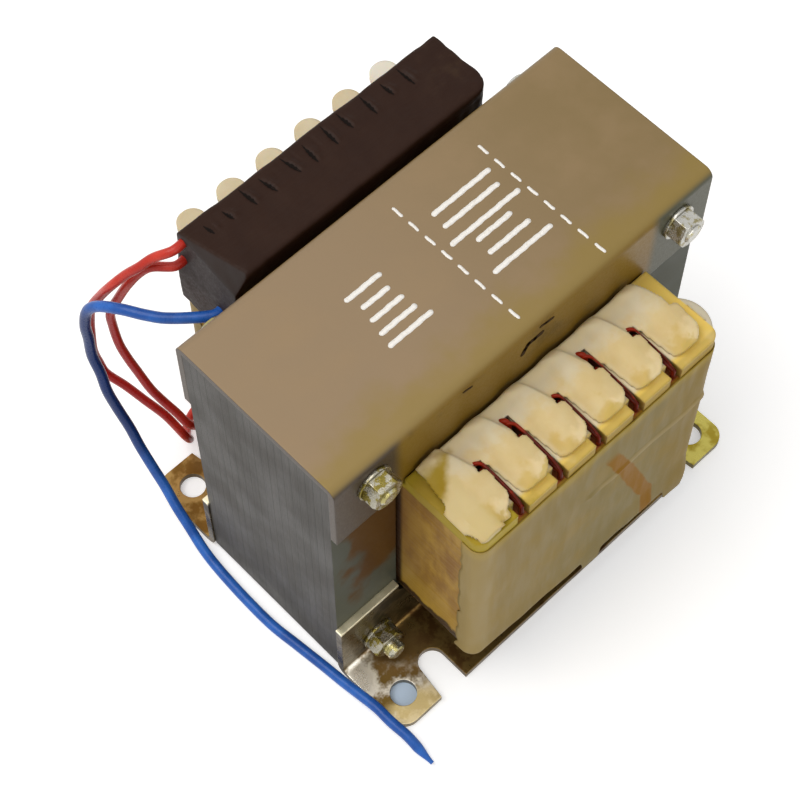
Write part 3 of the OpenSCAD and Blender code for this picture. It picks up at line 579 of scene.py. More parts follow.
def dress_nodes():
    for name, (slot, rounding) in NODE_LOOKS.items():
        materials = nodes[name].data.materials
        materials.clear()
        materials.append(MATERIALS[slot])
        if rounding:
            soften(nodes[name], rounding)


def new_piece(name, data, material):
    """A new object in the frame, which rides with the body of the part."""
    data.materials.append(MATERIALS[material])
    piece = bpy.data.objects.new(name, data)
    scene.collection.objects.link(piece)
    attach(piece, "root")
    return piece


def mesh_piece(name, vertices, faces, material):
    """A new smooth-shaded mesh from vertices in millimetres."""
    mesh = bpy.data.meshes.new(name)
    mesh.from_pydata([Vector(v) * MM for v in vertices], [], faces)
    mesh.validate()
    mesh.shade_smooth()
    return new_piece(name, mesh, material)


def grid_faces(first, rows, columns):
    """Faces of a grid of vertices that are counted row by row."""
    faces = []
    for row in range(first, first + (rows - 1) * columns, columns):
        for a in range(row, row + columns - 1):
            faces.append((a, a + columns, a + columns + 1, a + 1))
    return faces


def thicken(piece, thickness):
    """Gives a sheet a thickness on its inner side."""
    solidify = piece.modifiers.new("thickness", "SOLIDIFY")
    solidify.thickness = thickness * MM
    solidify.offset = -1


def surface_of(mesh):
    return BVHTree.FromPolygons([v.co for v in mesh.vertices], [p.vertices for p in mesh.polygons])


def height_at(surface, x, y, start):
    """Height of a surface below a start, or None beside it."""
    hit = surface.ray_cast(Vector((x, y, start)) * MM, Vector((0, 0, -1)))[0]
    return hit.z / MM if hit else None


# Wrapped block. Each pleat has a rear and a front end along X and Y.
WRAP_STEP = 0.45
WRAP_EDGE = 1.6
WRAP_SLOPE_LENGTH = 8
PLEATS = [
    ((-34.4, 45.6), (-33.8, 42.2)), ((-28.7, 45.6), (-27.9, 42)), ((-21.9, 47.6), (-21.4, 41.4)),
    ((-16.6, 46.6), (-15.6, 40.8)), ((-9.2, 47.4), (-8, 41)), ((-2.9, 46.6), (-3.3, 40.3)),
    ((3.7, 47.6), (3.5, 40.7)), ((8.9, 47.5), (9.2, 41.7)), ((16.4, 47.6), (16.1, 40.8)),
    ((22.4, 46.8), (22.8, 42.1)), ((28.3, 47.3), (28.5, 40.9)),
]
PLEAT_SKEW = 1.3
PLEAT_DEPTH = 0.5
PLEAT_HALF = 0.42
# The lip beside a pleat: its height, half width and distance from the gash
LIP_HEIGHT = 0.45
LIP_HALF = 0.8
LIP_AWAY = 1.1
# Pleats fade out over this much of the top's rim
PLEAT_RIM = (0.6, WRAP_EDGE)
# The painted shadow in a pleat's fold: steps along it, height above the tape, least share of its width,
# uneven edges
FOLD_STEPS = 14
FOLD_HEIGHT = 0.05
FOLD_LEAST = 0.15
FOLD_WAVER = 0.3
FOLD_WAVER_PACE = 2.3
RAY_ABOVE = 5
# The block's left end leans over its upper part, and its right end spreads
LEFT_LEAN = 1.3
LEFT_LEAN_FROM = 25
LEAN_HEIGHT = 18
RIGHT_SPREAD = 0.9
RIGHT_SPREAD_FROM = 20
# Size and depth of the wrinkles, and of the crumples between two places along X at the right end
WRINKLES = [(7, 0.2), (2.2, 0.08)]
CRUMPLE_SIZE = 3.1
CRUMPLE_DEPTH = 0.22
CRUMPLE_X = (24, 34)


def fine_copy(node, step):
    """A copy of a node's mesh in small even faces."""
    source = bpy.data.objects.new("fine_copy", nodes[node].data.copy())
    scene.collection.objects.link(source)
    remesh = source.modifiers.new("even_faces", "REMESH")
    remesh.mode = "VOXEL"
    remesh.voxel_size = step * MM
    mesh = bpy.data.meshes.new_from_object(source.evaluated_get(bpy.context.evaluated_depsgraph_get()))
    bpy.data.objects.remove(source)
    return mesh


def fold_size(t):
    """How open a pleat is, from 0 at its ends to 1 nearer the front."""
    return math.sin(math.pi * t ** PLEAT_SKEW)


def pleat_height(x, y):
    """Height of the pleats on top of the block: a gash, and a lip on the right of it."""
    height = 0
    for (rear_x, rear_y), (front_x, front_y) in PLEATS:
        t = (rear_y - y) / (rear_y - front_y)
        if 0 < t < 1:
            across = x - rear_x - (front_x - rear_x) * t
            height -= PLEAT_DEPTH * fold_size(t) * math.exp(-(across / PLEAT_HALF) ** 2)
            height += LIP_HEIGHT * fold_size(t) * math.exp(-((across - LIP_AWAY) / LIP_HALF) ** 2)
    return height


def make_fold_shadows(mesh, top):
    """A near-black sheet in each pleat as painted shadow of its open fold, laid on the block's mesh."""
    surface = surface_of(mesh)
    vertices = []
    faces = []
    for rear, front in PLEATS:
        first = len(vertices)
        for i in range(FOLD_STEPS + 1):
            t = i / FOLD_STEPS
            middle = Vector(rear).lerp(Vector(front), t)
            width = FOLD_LEAST + (1 - FOLD_LEAST) * fold_size(t)
            waver = 1 + FOLD_WAVER * math.sin(FOLD_WAVER_PACE * i + rear[0])
            half = PLEAT_HALF * width * waver
            for side in (-half, 0, half):
                x = middle.x + side
                z = height_at(surface, x, middle.y, top + RAY_ABOVE)
                vertices.append((x, middle.y, z + FOLD_HEIGHT))
        faces += grid_faces(first, FOLD_STEPS + 1, 3)
    mesh_piece("tape_fold_shadows", vertices, faces, "tape_fold_shadow")


def make_wrap():
    low, high = box("terminal_wrap")
    mesh = fine_copy("terminal_wrap", WRAP_STEP)
    mesh.materials.clear()
    outward = [vertex.normal.copy() for vertex in mesh.vertices]
    for vertex, out in zip(mesh.vertices, outward):
        p = vertex.co / MM
        inside = min(p.x - low.x, high.x - p.x, p.y - low.y, high.y - p.y)
        if p.z > high.z - WRAP_EDGE and inside > PLEAT_RIM[0] and p.x > low.x + WRAP_SLOPE_LENGTH:
            p.z += pleat_height(p.x, p.y) * ease(inside, *PLEAT_RIM)
        lean = LEFT_LEAN * ease(p.z, high.z - LEAN_HEIGHT, high.z) * ease(-p.x, LEFT_LEAN_FROM, -low.x)
        p.x += lean + RIGHT_SPREAD * ease(p.x, RIGHT_SPREAD_FROM, high.x)
        wrinkle = sum(depth * noise.noise(p / size) for size, depth in WRINKLES)
        crumple = CRUMPLE_DEPTH * noise.noise(p / CRUMPLE_SIZE) * ease(p.x, *CRUMPLE_X)
        vertex.co = (p + out * (wrinkle + crumple)) * MM
    mesh.shade_smooth()
    piece = new_piece("tape_wrap", mesh, "wrap_tape")
    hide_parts("terminal_wrap")
    make_fold_shadows(mesh, high.z)


# Comb: a soft skin over the bobbin's front tongues, which rounds their edges, fills the hollows between them
# and eases the skirt at its left end
COMB_X = (-39.8, 39.8)
COMB_Y = (-50, -26.5)
COMB_STEP = 0.25
COMB_ROUND = 0.55
# Height of the deck, and how far above it a tongue starts
COMB_DECK = 84
COMB_LEAST = 0.2
COMB_LIFT = 0.06
COMB_THICK = 0.8
# Skirt: its rear left corner, front end, slant, level and lift, and where it turns into the tongues along X
SKIRT_REAR = Vector((-36.3, -29))
SKIRT_FRONT = -42
SKIRT_SPLAY = 0.17
SKIRT_LEVEL = 84.4
SKIRT_LIFT = 0.35
SKIRT_BLEND = (-32, -28)
SKIRT_MARGIN = 1
# Hollows: how far out and to the front they reach, and their level
HOLLOW_X = 29
HOLLOW_FRONT = -37
HOLLOW_LEVEL = 85.9
# Passes that smooth the heights, and the radius of the skirt's inner corners
FILLET_PASSES = 16
POLISH_PASSES = 2
SKIRT_PASSES = 12
SKIRT_CORNER = 3
SKIRT_FILLET_PASSES = 70
AROUND = [(i, j) for i in (-1, 0, 1) for j in (-1, 0, 1)]


def comb_heights(xs, ys):
    """Heights of the front tongues and of the hollows between them, and 0 beside them."""
    surface = surface_of(nodes["bobbin"].data)
    heights = numpy.zeros((len(xs), len(ys)))
    for i, x in enumerate(xs[1:-1], 1):
        for j, y in enumerate(ys[1:-1], 1):
            above = (height_at(surface, x, y, 2 * COMB_DECK) or 0) - COMB_DECK
            skirt_x = SKIRT_REAR.x + (y - SKIRT_REAR.y) * SKIRT_SPLAY
            if above > COMB_LEAST:
                heights[i, j] = COMB_DECK + above
            elif above > -COMB_LEAST and y > HOLLOW_FRONT and abs(x) < HOLLOW_X:
                heights[i, j] = HOLLOW_LEVEL
            elif above > -COMB_LEAST and SKIRT_FRONT < y < SKIRT_REAR.y and skirt_x < x < -HOLLOW_X:
                heights[i, j] = SKIRT_LEVEL
    return heights


def shifted(grid, i, j):
    return numpy.roll(grid, (i, j), (0, 1))


def disc(radius):
    """Steps along X and Y to the cells within a radius, and their distances."""
    reach = int(radius / COMB_STEP)
    steps = range(-reach, reach + 1)
    cells = [(i, j, math.hypot(i, j) * COMB_STEP) for i in steps for j in steps]
    return [cell for cell in cells if cell[2] <= radius]


def spread(mask, radius):
    """The cells no farther than the radius from those of the mask."""
    wide = mask.copy()
    for i, j, _ in disc(radius):
        wide |= shifted(mask, i, j)
    return wide


def fill_corners(heights, xs, ys):
    """Rounds the inner corners of the skirt's plan."""
    whole = ~spread(~spread(heights > 0, SKIRT_CORNER), SKIRT_CORNER)
    on_skirt = (xs < -HOLLOW_X)[:, None] & ((ys > COMB_Y[0] + SKIRT_MARGIN) & (ys < SKIRT_REAR.y))[None, :]
    heights[whole & on_skirt & (heights == 0)] = SKIRT_LEVEL


def rounded(heights):
    """The heights under a ball that rolls over them, so that their edges are round and reach out a little."""
    best = heights.copy()
    for i, j, away in disc(COMB_ROUND):
        drop = COMB_ROUND - math.sqrt(COMB_ROUND ** 2 - away ** 2)
        best = numpy.maximum(best, shifted(heights, i, j) - drop)
    return numpy.where(best > COMB_DECK - COMB_ROUND, best, 0)


def smoothed(heights, passes):
    """The heights averaged with their neighbours, where there are any."""
    there = (heights > 0).astype(float)
    count = numpy.maximum(sum(shifted(there, i, j) for i, j in AROUND), 1)
    for _ in range(passes):
        heights = there * sum(shifted(heights, i, j) for i, j in AROUND) / count
    return heights


def make_comb_skin():
    xs = numpy.arange(*COMB_X, COMB_STEP)
    ys = numpy.arange(*COMB_Y, COMB_STEP)
    heights = comb_heights(xs, ys)
    fill_corners(heights, xs, ys)
    heights = rounded(heights)
    heights = numpy.maximum(heights, smoothed(heights, FILLET_PASSES))
    skirt = numpy.array([1 - ease(x, *SKIRT_BLEND) for x in xs])[:, None]
    softer = numpy.maximum(heights, smoothed(heights, SKIRT_FILLET_PASSES))
    softer = smoothed(softer, SKIRT_PASSES) + SKIRT_LIFT
    heights = smoothed(heights, POLISH_PASSES)
    heights = numpy.where(heights > 0, heights + (softer - heights) * skirt, 0)
    index = {}
    vertices = []
    faces = []
    for i, j in zip(*numpy.nonzero(heights)):
        index[i, j] = len(vertices)
        vertices.append((xs[i], ys[j], heights[i, j] + COMB_LIFT))
    for i, j in index:
        corners = [(i, j), (i + 1, j), (i + 1, j + 1), (i, j + 1)]
        if all(corner in index for corner in corners):
            faces.append([index[corner] for corner in corners])
    piece = mesh_piece("comb_skin", vertices, faces, "bobbin_nylon")
    thicken(piece, COMB_THICK)


# Film on the front and the rear of the coil. It laps round the corners and ends below the solid's top.
COIL_R = 3
FILM_LAP = 5.5
FILM_THICK = 0.25
FILM_STEP = 0.8
FILM_SHORT = 2.2
# Torn sides: depth and size of the tears, depth of the nicks, and places in the noise
TEAR_DEPTH = 1.6
TEAR_SIZE = 5
TEAR_SEED = 7
NICK_DEPTH = 0.5
NICK_SEED = 3
# Lower edge: how it falls to the right, how much higher it starts, and how far up the sheet follows it
FILM_SAG = 0.058
FILM_RISE = 1.4
FILM_FOLLOW = 6
# Place along X of the middle of each flap, its half width and how far it hangs
FLAPS = [(2.4, 3.4, 4.5), (33.5, 4, 5)]
FLAP_INSIDE = 0.8
FLAP_OUTSIDE = 0.4
# Waves of the sheet: size along X, size along Z and depth
EDGE_WAVE = (6, 30, 0.25)
LARGE_WAVE = (13, 17, 0.3)
SMALL_WAVE = (4, 11, 0.12)
LARGE_WAVE_SEED = 5
SMALL_WAVE_SEED = 9
EDGE_ROWS = 4
# How far the sheet stands off the coil, also at its crease and at its lower edge
FILM_OFF = 0.32
FILM_CLEAR = 0.05
CREASE_HEIGHT = 0.5
CREASE_HALF = 0.8
LOOSE_HEIGHT = 0.8
LOOSE_BELOW = 4
LOOSE_ABOVE = 8


def film_point(travel, half_x, front_y):
    """Place and outward direction at a distance along the film, from its end on the coil's left side."""
    side = FILM_LAP - COIL_R
    arc = COIL_R * math.pi / 2
    flat = 2 * (half_x - COIL_R)
    mirrored = travel > side + arc + flat / 2
    if mirrored:
        travel = 2 * (side + arc) + flat - travel
    if travel < side:
        place, out = Vector((-half_x, front_y + FILM_LAP - travel)), Vector((-1, 0))
    elif travel < side + arc:
        turn = (travel - side) / COIL_R
        out = Vector((-math.cos(turn), -math.sin(turn)))
        place = Vector((COIL_R - half_x, front_y + COIL_R)) + out * COIL_R
    else:
        place, out = Vector((COIL_R - half_x + travel - side - arc, front_y)), Vector((0, -1))
    if mirrored:
        place.x, out.x = -place.x, -out.x
    return place, out


def from_crease(x, z):
    """Distance from the crease."""
    a, b = CREASE
    along = b - a
    t = min(max((Vector((x, z)) - a).dot(along) / along.length_squared, 0), 1)
    return (Vector((x, z)) - a - along * t).length


def torn_depth(level, facing):
    """How far the sheet's sides are torn in at a height."""
    tear = TEAR_DEPTH * noise.noise(Vector((level / TEAR_SIZE, facing * TEAR_SEED, 0)))
    nick = NICK_DEPTH * noise.noise(Vector((level, NICK_SEED, 0)))
    return max(0, tear + nick)


def film_hang(x, left, facing):
    """How far the sheet's lower edge hangs down at a place along X."""
    hang = FILM_SAG * (x - left) - FILM_RISE
    for middle, half, drop in FLAPS:
        hang += drop * (1 - ease(abs(x * facing - middle), half - FLAP_INSIDE, half + FLAP_OUTSIDE))
    return max(hang, -FILM_RISE)


def film_wave(x, z, wave, seed):
    size_x, size_z, depth = wave
    return depth * noise.noise(Vector((x / size_x, z / size_z, seed)))


def film_lift(x, z, bottom, facing):
    """How far the sheet stands off the coil."""
    lift = FILM_OFF + film_wave(x, z, LARGE_WAVE, LARGE_WAVE_SEED * facing)
    lift += film_wave(x, z, SMALL_WAVE, SMALL_WAVE_SEED)
    lift += CREASE_HEIGHT * math.exp(-(from_crease(x, z) / CREASE_HALF) ** 2)
    lift += LOOSE_HEIGHT * (1 - ease(z, bottom - LOOSE_BELOW, bottom + LOOSE_ABOVE))
    return max(lift, FILM_THICK + FILM_CLEAR)


def make_film(node, facing):
    """A creased sheet over one side of the coil. Facing is 1 for the front and -1 for the rear."""
    coil_low, coil_high = box("outer_tape")
    low, high = box(node)
    high.z -= FILM_SHORT
    total = 2 * FILM_LAP + COIL_R * (math.pi - 4) + 2 * coil_high.x
    columns = round(total / FILM_STEP)
    rows = round((high.z - low.z) / FILM_STEP)
    vertices = []
    for j in range(rows + 1):
        level = low.z + (high.z - low.z) * j / rows
        torn = torn_depth(level, facing)
        lower = 1 - ease(level, low.z, low.z + FILM_FOLLOW)
        near_edge = ease(abs(j - rows / 2), rows / 2 - EDGE_ROWS, rows / 2)
        for i in range(columns + 1):
            travel = torn + (total - 2 * torn) * i / columns
            place, out = film_point(travel, coil_high.x, coil_low.y)
            z = level - film_hang(place.x, low.x, facing) * lower
            z += film_wave(place.x, z, EDGE_WAVE, facing) * near_edge
            spot = place + out * film_lift(place.x, z, low.z, facing)
            vertices.append((spot.x, spot.y * facing, z))
    faces = grid_faces(0, rows + 1, columns + 1)
    # Faces of the grid look to the rear
    if facing > 0:
        faces = [(a, d, c, b) for a, b, c, d in faces]
    piece = mesh_piece(node + "_sheet", vertices, faces, "coil_film")
    thicken(piece, FILM_THICK)
    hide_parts(node)


# Threads on the ends of the bolts
BOLT_R = 2.5
NUT_HALF = 4
THREAD_PITCH = 0.8
THREAD_DEPTH = 0.16
THREAD_SINK = 0.02
THREAD_FOOT = 0.25
# Steps in a turn, at least in a thread, and where it runs out
THREAD_TURN = 24
THREAD_LEAST = 4
THREAD_RUN_OUT = 6
UPPER_BOLT_OUT = 0.7


def make_threads():
    """A ridge wound round each bolt from its nut to its end."""
    nut_low, nut_high = box("clamp_nuts")
    bolt_low, bolt_high = box("clamp_bolts")
    bolt_x = bolt_high.x - NUT_HALF
    ends = {nut_low.z + NUT_HALF: bolt_low.y, nut_high.z - NUT_HALF: nut_low.y - UPPER_BOLT_OUT}
    vertices = []
    faces = []
    for x in (-bolt_x, bolt_x):
        for level, end in ends.items():
            length = nut_low.y - end - THREAD_PITCH / 2
            count = max(THREAD_LEAST, round(length / THREAD_PITCH * THREAD_TURN))
            first = len(vertices)
            for i in range(count + 1):
                angle = 2 * math.pi * i / THREAD_TURN
                y = nut_low.y - length * i / count
                share = min(1, i / THREAD_RUN_OUT, (count - i) / THREAD_RUN_OUT)
                crest = (THREAD_DEPTH * share, 0)
                for height, along in ((-THREAD_SINK, -THREAD_FOOT), crest, (-THREAD_SINK, THREAD_FOOT)):
                    out = Vector((math.cos(angle), 0, math.sin(angle))) * (BOLT_R + height)
                    vertices.append(out + Vector((x, y + along, level)))
            faces += grid_faces(first, count + 1, 3)
    mesh_piece("bolt_threads", vertices, faces, "bolt_steel")


# Leads. Points are counted from the core's upright edge at the rear left; those with no height lie on the
# floor. Each lead starts a little inside the wrapped block and leaves it in a straight line.
CORE_EDGE = Vector((-60, 23.75, 0))
LEAD_ROOT = Vector((1.5, 0, 0))
LEAD_STRAIGHT = Vector((-2, 0, 0))
LEADS = {
    "blue_lead": {
        "diameter": 2.8, "length": 211, "slot": "blue_sleeve", "exit": (-41, 34.5, 86), "tip": 0.4,
        "points": [
            (9.5, 17, 86), (6, 21.5, 86), (3, 27, 85.5), (0.5, 33, 82.5), (-1, 36, 78.5), (-2, 37, 72),
            (-2, 37, 65.5), (-2.5, 36.5, 58.5), (-2.5, 34.5, 52), (-3, 32.5, 46), (-2.5, 30.5, 39),
            (-2, 27.5, 32), (-2, 24.5, 25.5), (-2, 20.5, 19.5), (-2, 16.5, 14), (-2.5, 12, 9), (-3, 7, 5.5),
            (-4, 0.5, 3), (-4.5, -6, 1.5), (-5, -16, 0), (-5, -27, 0), (-4, -36, 0), (-3, -45, 1.5),
            (-2.5, -51.5, 2), (-2, -57.5, 3), (-1.5, -63, 3.5), (-1.5, -68, 3.5), (-1, -73.5, 3),
            (-1, -78, 2), (-1, -82.5, 0),
        ],
    },
    "red_lead_upper": {
        "diameter": 2.4, "length": 210, "slot": "red_sleeve", "exit": (-41, 46.75, 100), "tip": 1,
        "points": [
            (13.5, 26, 97.5), (10.5, 28, 94.5), (8, 30.5, 91), (5, 33, 86.5), (3.5, 36, 80.5), (2, 39, 73.5),
            (1.5, 40.5, 66), (1, 41, 58.5), (0.5, 41, 51.5), (1, 40.5, 45.5), (1.5, 39, 41), (4, 35.5, 36),
            (6.5, 31.5, 30), (9, 27.5, 24), (11, 23.5, 16), (13, 24.5, 9.5), (14.5, 28, 4.5),
            (18.5, 32.5, 1.5), (24.5, 34.5, 0), (33, 35, 0), (50, 35, 0), (70, 35, 0), (90, 35, 0),
            (105, 35, 0),
        ],
    },
    "red_lead_lower": {
        "diameter": 2.4, "length": 193, "slot": "red_sleeve", "exit": (-41, 46.75, 93.5), "tip": 1,
        "points": [
            (13.5, 27, 92.5), (11.5, 29.5, 89.5), (9, 31.5, 85), (7, 34, 78), (5, 36, 71), (5, 36.5, 64),
            (5, 35.5, 56.5), (5.5, 34, 51), (6.5, 32, 44.5), (7.5, 29.5, 38), (9, 27.5, 32.5),
            (10.5, 24.5, 28), (12, 22, 23), (16, 23, 15), (19, 25.5, 8), (23, 28, 3), (29, 29.5, 0),
            (37.5, 30, 0), (55, 30, 0), (75, 30, 0), (95, 30, 0), (105, 30, 0),
        ],
    },
}
STEPS_PER_SPAN = 6
TIP_LENGTH = 6
CURVE_RESOLUTION = 5


def smooth_path(points):
    """A smooth curve through the points, as a list of many more points."""
    path = []
    for i in range(len(points) - 1):
        before = points[max(i - 1, 0)]
        here, there = points[i], points[i + 1]
        after = points[min(i + 2, len(points) - 1)]
        for step in range(STEPS_PER_SPAN):
            t = step / STEPS_PER_SPAN
            path.append(
                0.5 * ((2 * here) + (there - before) * t
                       + (2 * before - 5 * here + 4 * there - after) * t ** 2
                       + (3 * here - before - 3 * there + after) * t ** 3)
            )
    path.append(points[-1])
    return path


def curve_piece(name, paths, radius, material):
    """Round wires. Each path is a list of places, with a share of the radius at each of them."""
    data = bpy.data.curves.new(name, "CURVE")
    data.dimensions = "3D"
    data.bevel_depth = radius
    data.bevel_resolution = CURVE_RESOLUTION
    data.use_fill_caps = True
    for path in paths:
        spline = data.splines.new("POLY")
        spline.points.add(len(path) - 1)
        for point, (place, share) in zip(spline.points, path):
            point.co = (*place, 1)
            point.radius = share
        spline.use_smooth = True
    return new_piece(name, data, material)


def make_leads():
    for name, lead in LEADS.items():
        radius = lead["diameter"] / 2
        start = Vector(lead["exit"]) + LEAD_ROOT
        points = [start, Vector(lead["exit"]) + LEAD_STRAIGHT]
        for point in lead["points"]:
            place = CORE_EDGE + Vector(point)
            place.z = max(place.z, radius)
            points.append(place)
        path = []
        for place in smooth_path(points):
            place.z = max(place.z, radius)
            from_end = (place - points[-1]).length
            path.append((place * MM, lead["tip"] + (1 - lead["tip"]) * ease(from_end, 0, TIP_LENGTH)))
        piece = curve_piece(name + "_sleeve", [path], radius * MM, lead["slot"])
        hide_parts(name)


# Wire ends in the comb's slots: number of the slot from the middle, place along Y of the inner end, and
# radius of the run. Along X the points are counted from the middle of a slot, and those of hook and knot
# along Y from the inner end.
SLOT_WIRES = [(-2, -35, 0.46), (-1, -33, 0.44), (0, -35.2, 0.32), (1, -33, 0.24), (2, -35, 0.2)]
WIRE_R = 0.5
WIRE_TAPER = 3
KNOT = [(-2, 2.4, 82.5), (-1.9, 1.9, 85.2), (-1.3, 1, 86), (-1, 0.2, 85.6), (-1.2, -0.6, 83)]
KNOT_R = 0.7
HOOK = [(-1.9, 0.9, 82.5), (-1.7, 0.5, 85.2), (-1, -0.1, 86.1), (-0.3, -0.9, 86.1), (0, -2.2, 85.9)]
RUN = [(0.05, -41, 85.6), (0, -44.5, 85.2), (-0.1, -47.2, 84.5), (-0.4, -48.8, 84), (-0.7, -49.5, 82.4)]


def make_slot_wires():
    paths = []
    for slot, inner_y, radius in SLOT_WIRES:
        middle = Vector((slot * SLOT_PITCH, 0, 0))
        inner = Vector((0, inner_y, 0))
        points = [middle + inner + Vector(p) for p in HOOK] + [middle + Vector(p) for p in RUN]
        paths.append([
            (place * MM, max(radius, WIRE_R * (1 - ease(inner_y - place.y, 0, WIRE_TAPER))) / WIRE_R)
            for place in smooth_path(points)
        ])
        if slot % 2:
            knot = [middle + inner + Vector(p) for p in KNOT]
            paths.append([(place * MM, KNOT_R / WIRE_R) for place in smooth_path(knot)])
    curve_piece("slot_wires", paths, WIRE_R * MM, "wire_enamel")


# Print on the clamp: two groups of bars and two dashed lines
CLAMP_TOP = box("top_clamp")[1].z
CLAMP_FRONT = box("top_clamp")[0].y
INK_HEIGHT = 0.04
BAR_WIDTH = 1.35
DASH_WIDTH = 0.75
DASH_LENGTH = 3.4
DASH_PITCH = 5.35
# Left end, right end and place along Y of each bar
BARS = [
    (-25.4, -14.3, 7.7), (-24, -15.4, 3.8), (-24.8, -14.7, 0), (-25.7, -14.3, -3.8), (-26.4, -12.8, -7.4),
    (4.6, 23.4, 10.7), (4.2, 22.1, 6.5), (2, 24.3, 2), (7.1, 18.5, -1.2), (6.7, 20.1, -5.5),
    (3.8, 22.7, -9.9),
]
# Place along X, front end and rear end of each dashed line
DASHED_LINES = [(-0.4, -22.3, 23.2), (26, -23.6, 22.4)]
# Width of each scuff on the front flange, and its points along X and Z
SCUFFS = [
    (1.6, [(3.8, 97.4), (1.5, 97.2), (-0.6, 97.4), (-1.5, 96.1), (-2.3, 94.6)]),
    (1.1, [(3.1, 100.6), (4.8, 100.4), (7.1, 99.9)]),
    (0.8, [(-21.2, 101), (-18.6, 100.2)]),
]
SCUFF_OVERLAP = 0.4
STROKE_STEP = 0.25
STROKE_LEAST_STEPS = 6
STROKE_BLUNT = 0.08
# Upper, lower, left and right side of a stroke, between two of the four corners of its section
STROKE_SIDES = ((1, 3), (2, 0), (0, 1), (3, 2))
# Uneven edges of a stroke: pace and depth of each wave, and what shifts the waves from one edge to another
EDGE_WAVES = ((2.1, 0.05), (0.9, 0.035))
EDGE_SHIFT = 2.4
EDGE_SHIFT_X = 1.7
EDGE_SHIFT_Y = 0.9


def on_top(place, height):
    return (place.x, place.y, CLAMP_TOP + height)


def on_flange(place, height):
    return (place.x, CLAMP_FRONT - height, place.y)


def stroke(vertices, faces, start, end, width, lay):
    """A stroke of ink with round ends and slightly uneven edges, laid on a face of the clamp."""
    along = (end - start).normalized()
    across = Vector((-along.y, along.x))
    length = (end - start).length
    count = max(STROKE_LEAST_STEPS, round(length / STROKE_STEP))
    phase = start.x * EDGE_SHIFT_X + start.y * EDGE_SHIFT_Y
    first = len(vertices)
    for i in range(count + 1):
        travel = length * i / count
        from_end = min(travel, length - travel)
        half = width / 2
        if from_end < half:
            half *= math.sqrt(max(STROKE_BLUNT, 1 - (1 - from_end / half) ** 2))
        wobble = [
            sum(depth * math.sin(travel * pace + phase + shift) for pace, depth in EDGE_WAVES)
            for shift in (0, EDGE_SHIFT)
        ]
        middle = start + along * travel
        left = middle + across * (half + wobble[0])
        right = middle - across * (half + wobble[1])
        for place in (left, right):
            for height in (0, INK_HEIGHT):
                vertices.append(lay(place, height))
    last = first + 4 * count
    for a in range(first, last, 4):
        for p, q in STROKE_SIDES:
            faces.append((a + p, a + q, a + q + 4, a + p + 4))
    faces.append((first, first + 2, first + 3, first + 1))
    faces.append((last, last + 1, last + 3, last + 2))


def make_print():
    vertices = []
    faces = []
    for left, right, y in BARS:
        stroke(vertices, faces, Vector((left, y)), Vector((right, y)), BAR_WIDTH, on_top)
    for x, front, rear in DASHED_LINES:
        for i in range(int((rear - front - DASH_LENGTH) / DASH_PITCH) + 1):
            y = front + i * DASH_PITCH
            stroke(vertices, faces, Vector((x, y)), Vector((x, y + DASH_LENGTH)), DASH_WIDTH, on_top)
    mesh_piece("winding_diagram", vertices, faces, "print_ink")


def make_scuffs():
    vertices = []
    faces = []
    for width, points in SCUFFS:
        places = [Vector(point) for point in points]
        for start, end in zip(places, places[1:]):
            overlap = (end - start).normalized() * width * SCUFF_OVERLAP
            stroke(vertices, faces, start - overlap, end + overlap, width, on_flange)
    mesh_piece("flange_scuffs", vertices, faces, "scuff")


# Studio
FLOOR_HALF_METRES = 3
FLOOR_COLOUR = (0.93, 0.93, 0.93)
FLOOR_GAP = 0.05
FLOOR_GLOW = 0.4
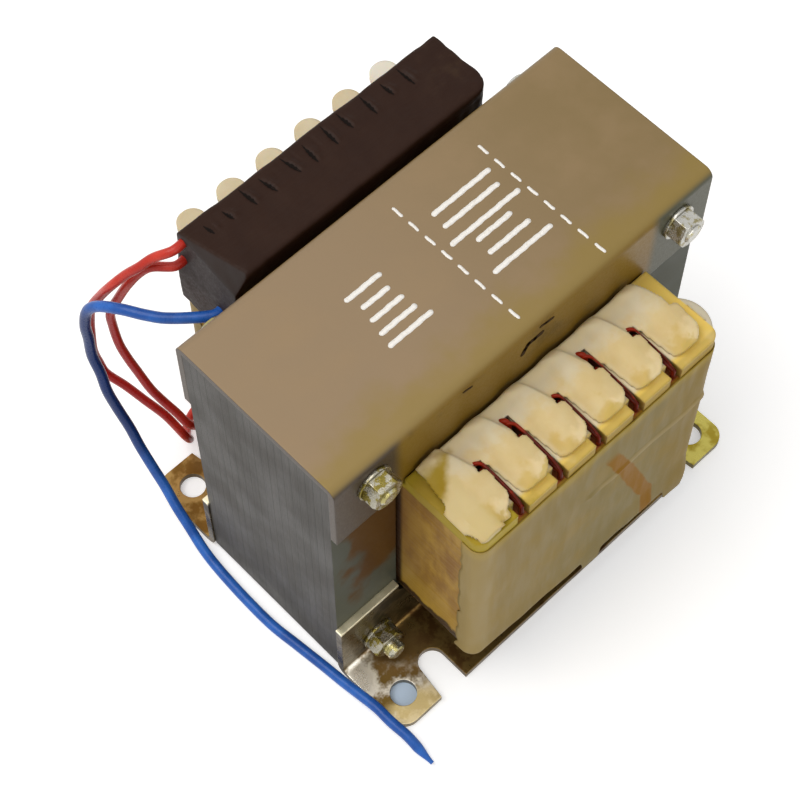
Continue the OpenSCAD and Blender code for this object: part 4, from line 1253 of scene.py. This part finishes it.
# The photograph's own floor is left only inside the hole of the front left foot
HOLE_PLACE = Vector((-53.5, -40.5))
HOLE_COLOUR = (0.6, 0.74, 0.92)
HOLE_RIM = (4.5, 5)
SKY_FOR_LIGHT = 0.45
LIGHT_TARGET_METRES = Vector((0, 0, 0.05))
LIGHTS = {
    "key": {"metres": (-0.35, 0.25, 1), "width_metres": 0.9, "watts": 6.2, "colour": (1, 0.97, 0.93)},
    "front_fill": {"metres": (-0.2, -1, 0.55), "width_metres": 0.8, "watts": 2, "colour": (1, 1, 1)},
}


def make_floor():
    half = FLOOR_HALF_METRES
    z = -FLOOR_GAP * MM
    corners = [(-half, -half, z), (half, -half, z), (half, half, z), (-half, half, z)]
    mesh = bpy.data.meshes.new("floor")
    mesh.from_pydata(corners, [], [(0, 1, 2, 3)])
    s = Shader("floor")
    from_x = s.minus(s.x, HOLE_PLACE.x * MM)
    from_y = s.minus(s.y, HOLE_PLACE.y * MM)
    from_hole = s.math("SQRT", s.plus(s.times(from_x, from_x), s.times(from_y, from_y)))
    pale = s.past(from_hole, *HOLE_RIM)
    glow = s.times(s.seen_directly(), s.times(pale, FLOOR_GLOW))
    mesh.materials.append(s.finish(
        s.mix(pale, HOLE_COLOUR, FLOOR_COLOUR),
        roughness=0.9,
        shine=0.1,
        Emission_Color=(1, 1, 1),
        Emission_Strength=glow,
    ))
    floor = bpy.data.objects.new("floor", mesh)
    scene.collection.objects.link(floor)


def make_sky():
    """White for what sees it directly or in a reflection, and a softer grey for the light that it gives."""
    scene.world = bpy.data.worlds.new("studio")
    sky = NodeTree(scene.world)
    background = sky.tree.nodes["Background"]
    sky.feed(background.inputs["Color"], (1, 1, 1, 1))
    sky.feed(background.inputs["Strength"], sky.span(sky.seen_directly(), 0, 1, SKY_FOR_LIGHT, 1))


def make_lights():
    for name, lamp in LIGHTS.items():
        data = bpy.data.lights.new(name, "AREA")
        data.shape = "DISK"
        data.size = lamp["width_metres"]
        data.energy = lamp["watts"]
        data.color = lamp["colour"]
        light = bpy.data.objects.new(name, data)
        light.location = lamp["metres"]
        away = Vector(lamp["metres"]) - LIGHT_TARGET_METRES
        light.rotation_euler = away.to_track_quat("Z", "Y").to_euler()
        scene.collection.objects.link(light)


make_camera()
dress_nodes()
make_wrap()
make_comb_skin()
make_film("front_film", 1)
make_film("rear_film", -1)
make_threads()
make_leads()
make_slot_wires()
make_print()
make_scuffs()
make_floor()
make_sky()
make_lights()
scene.view_settings.view_transform = "Standard"
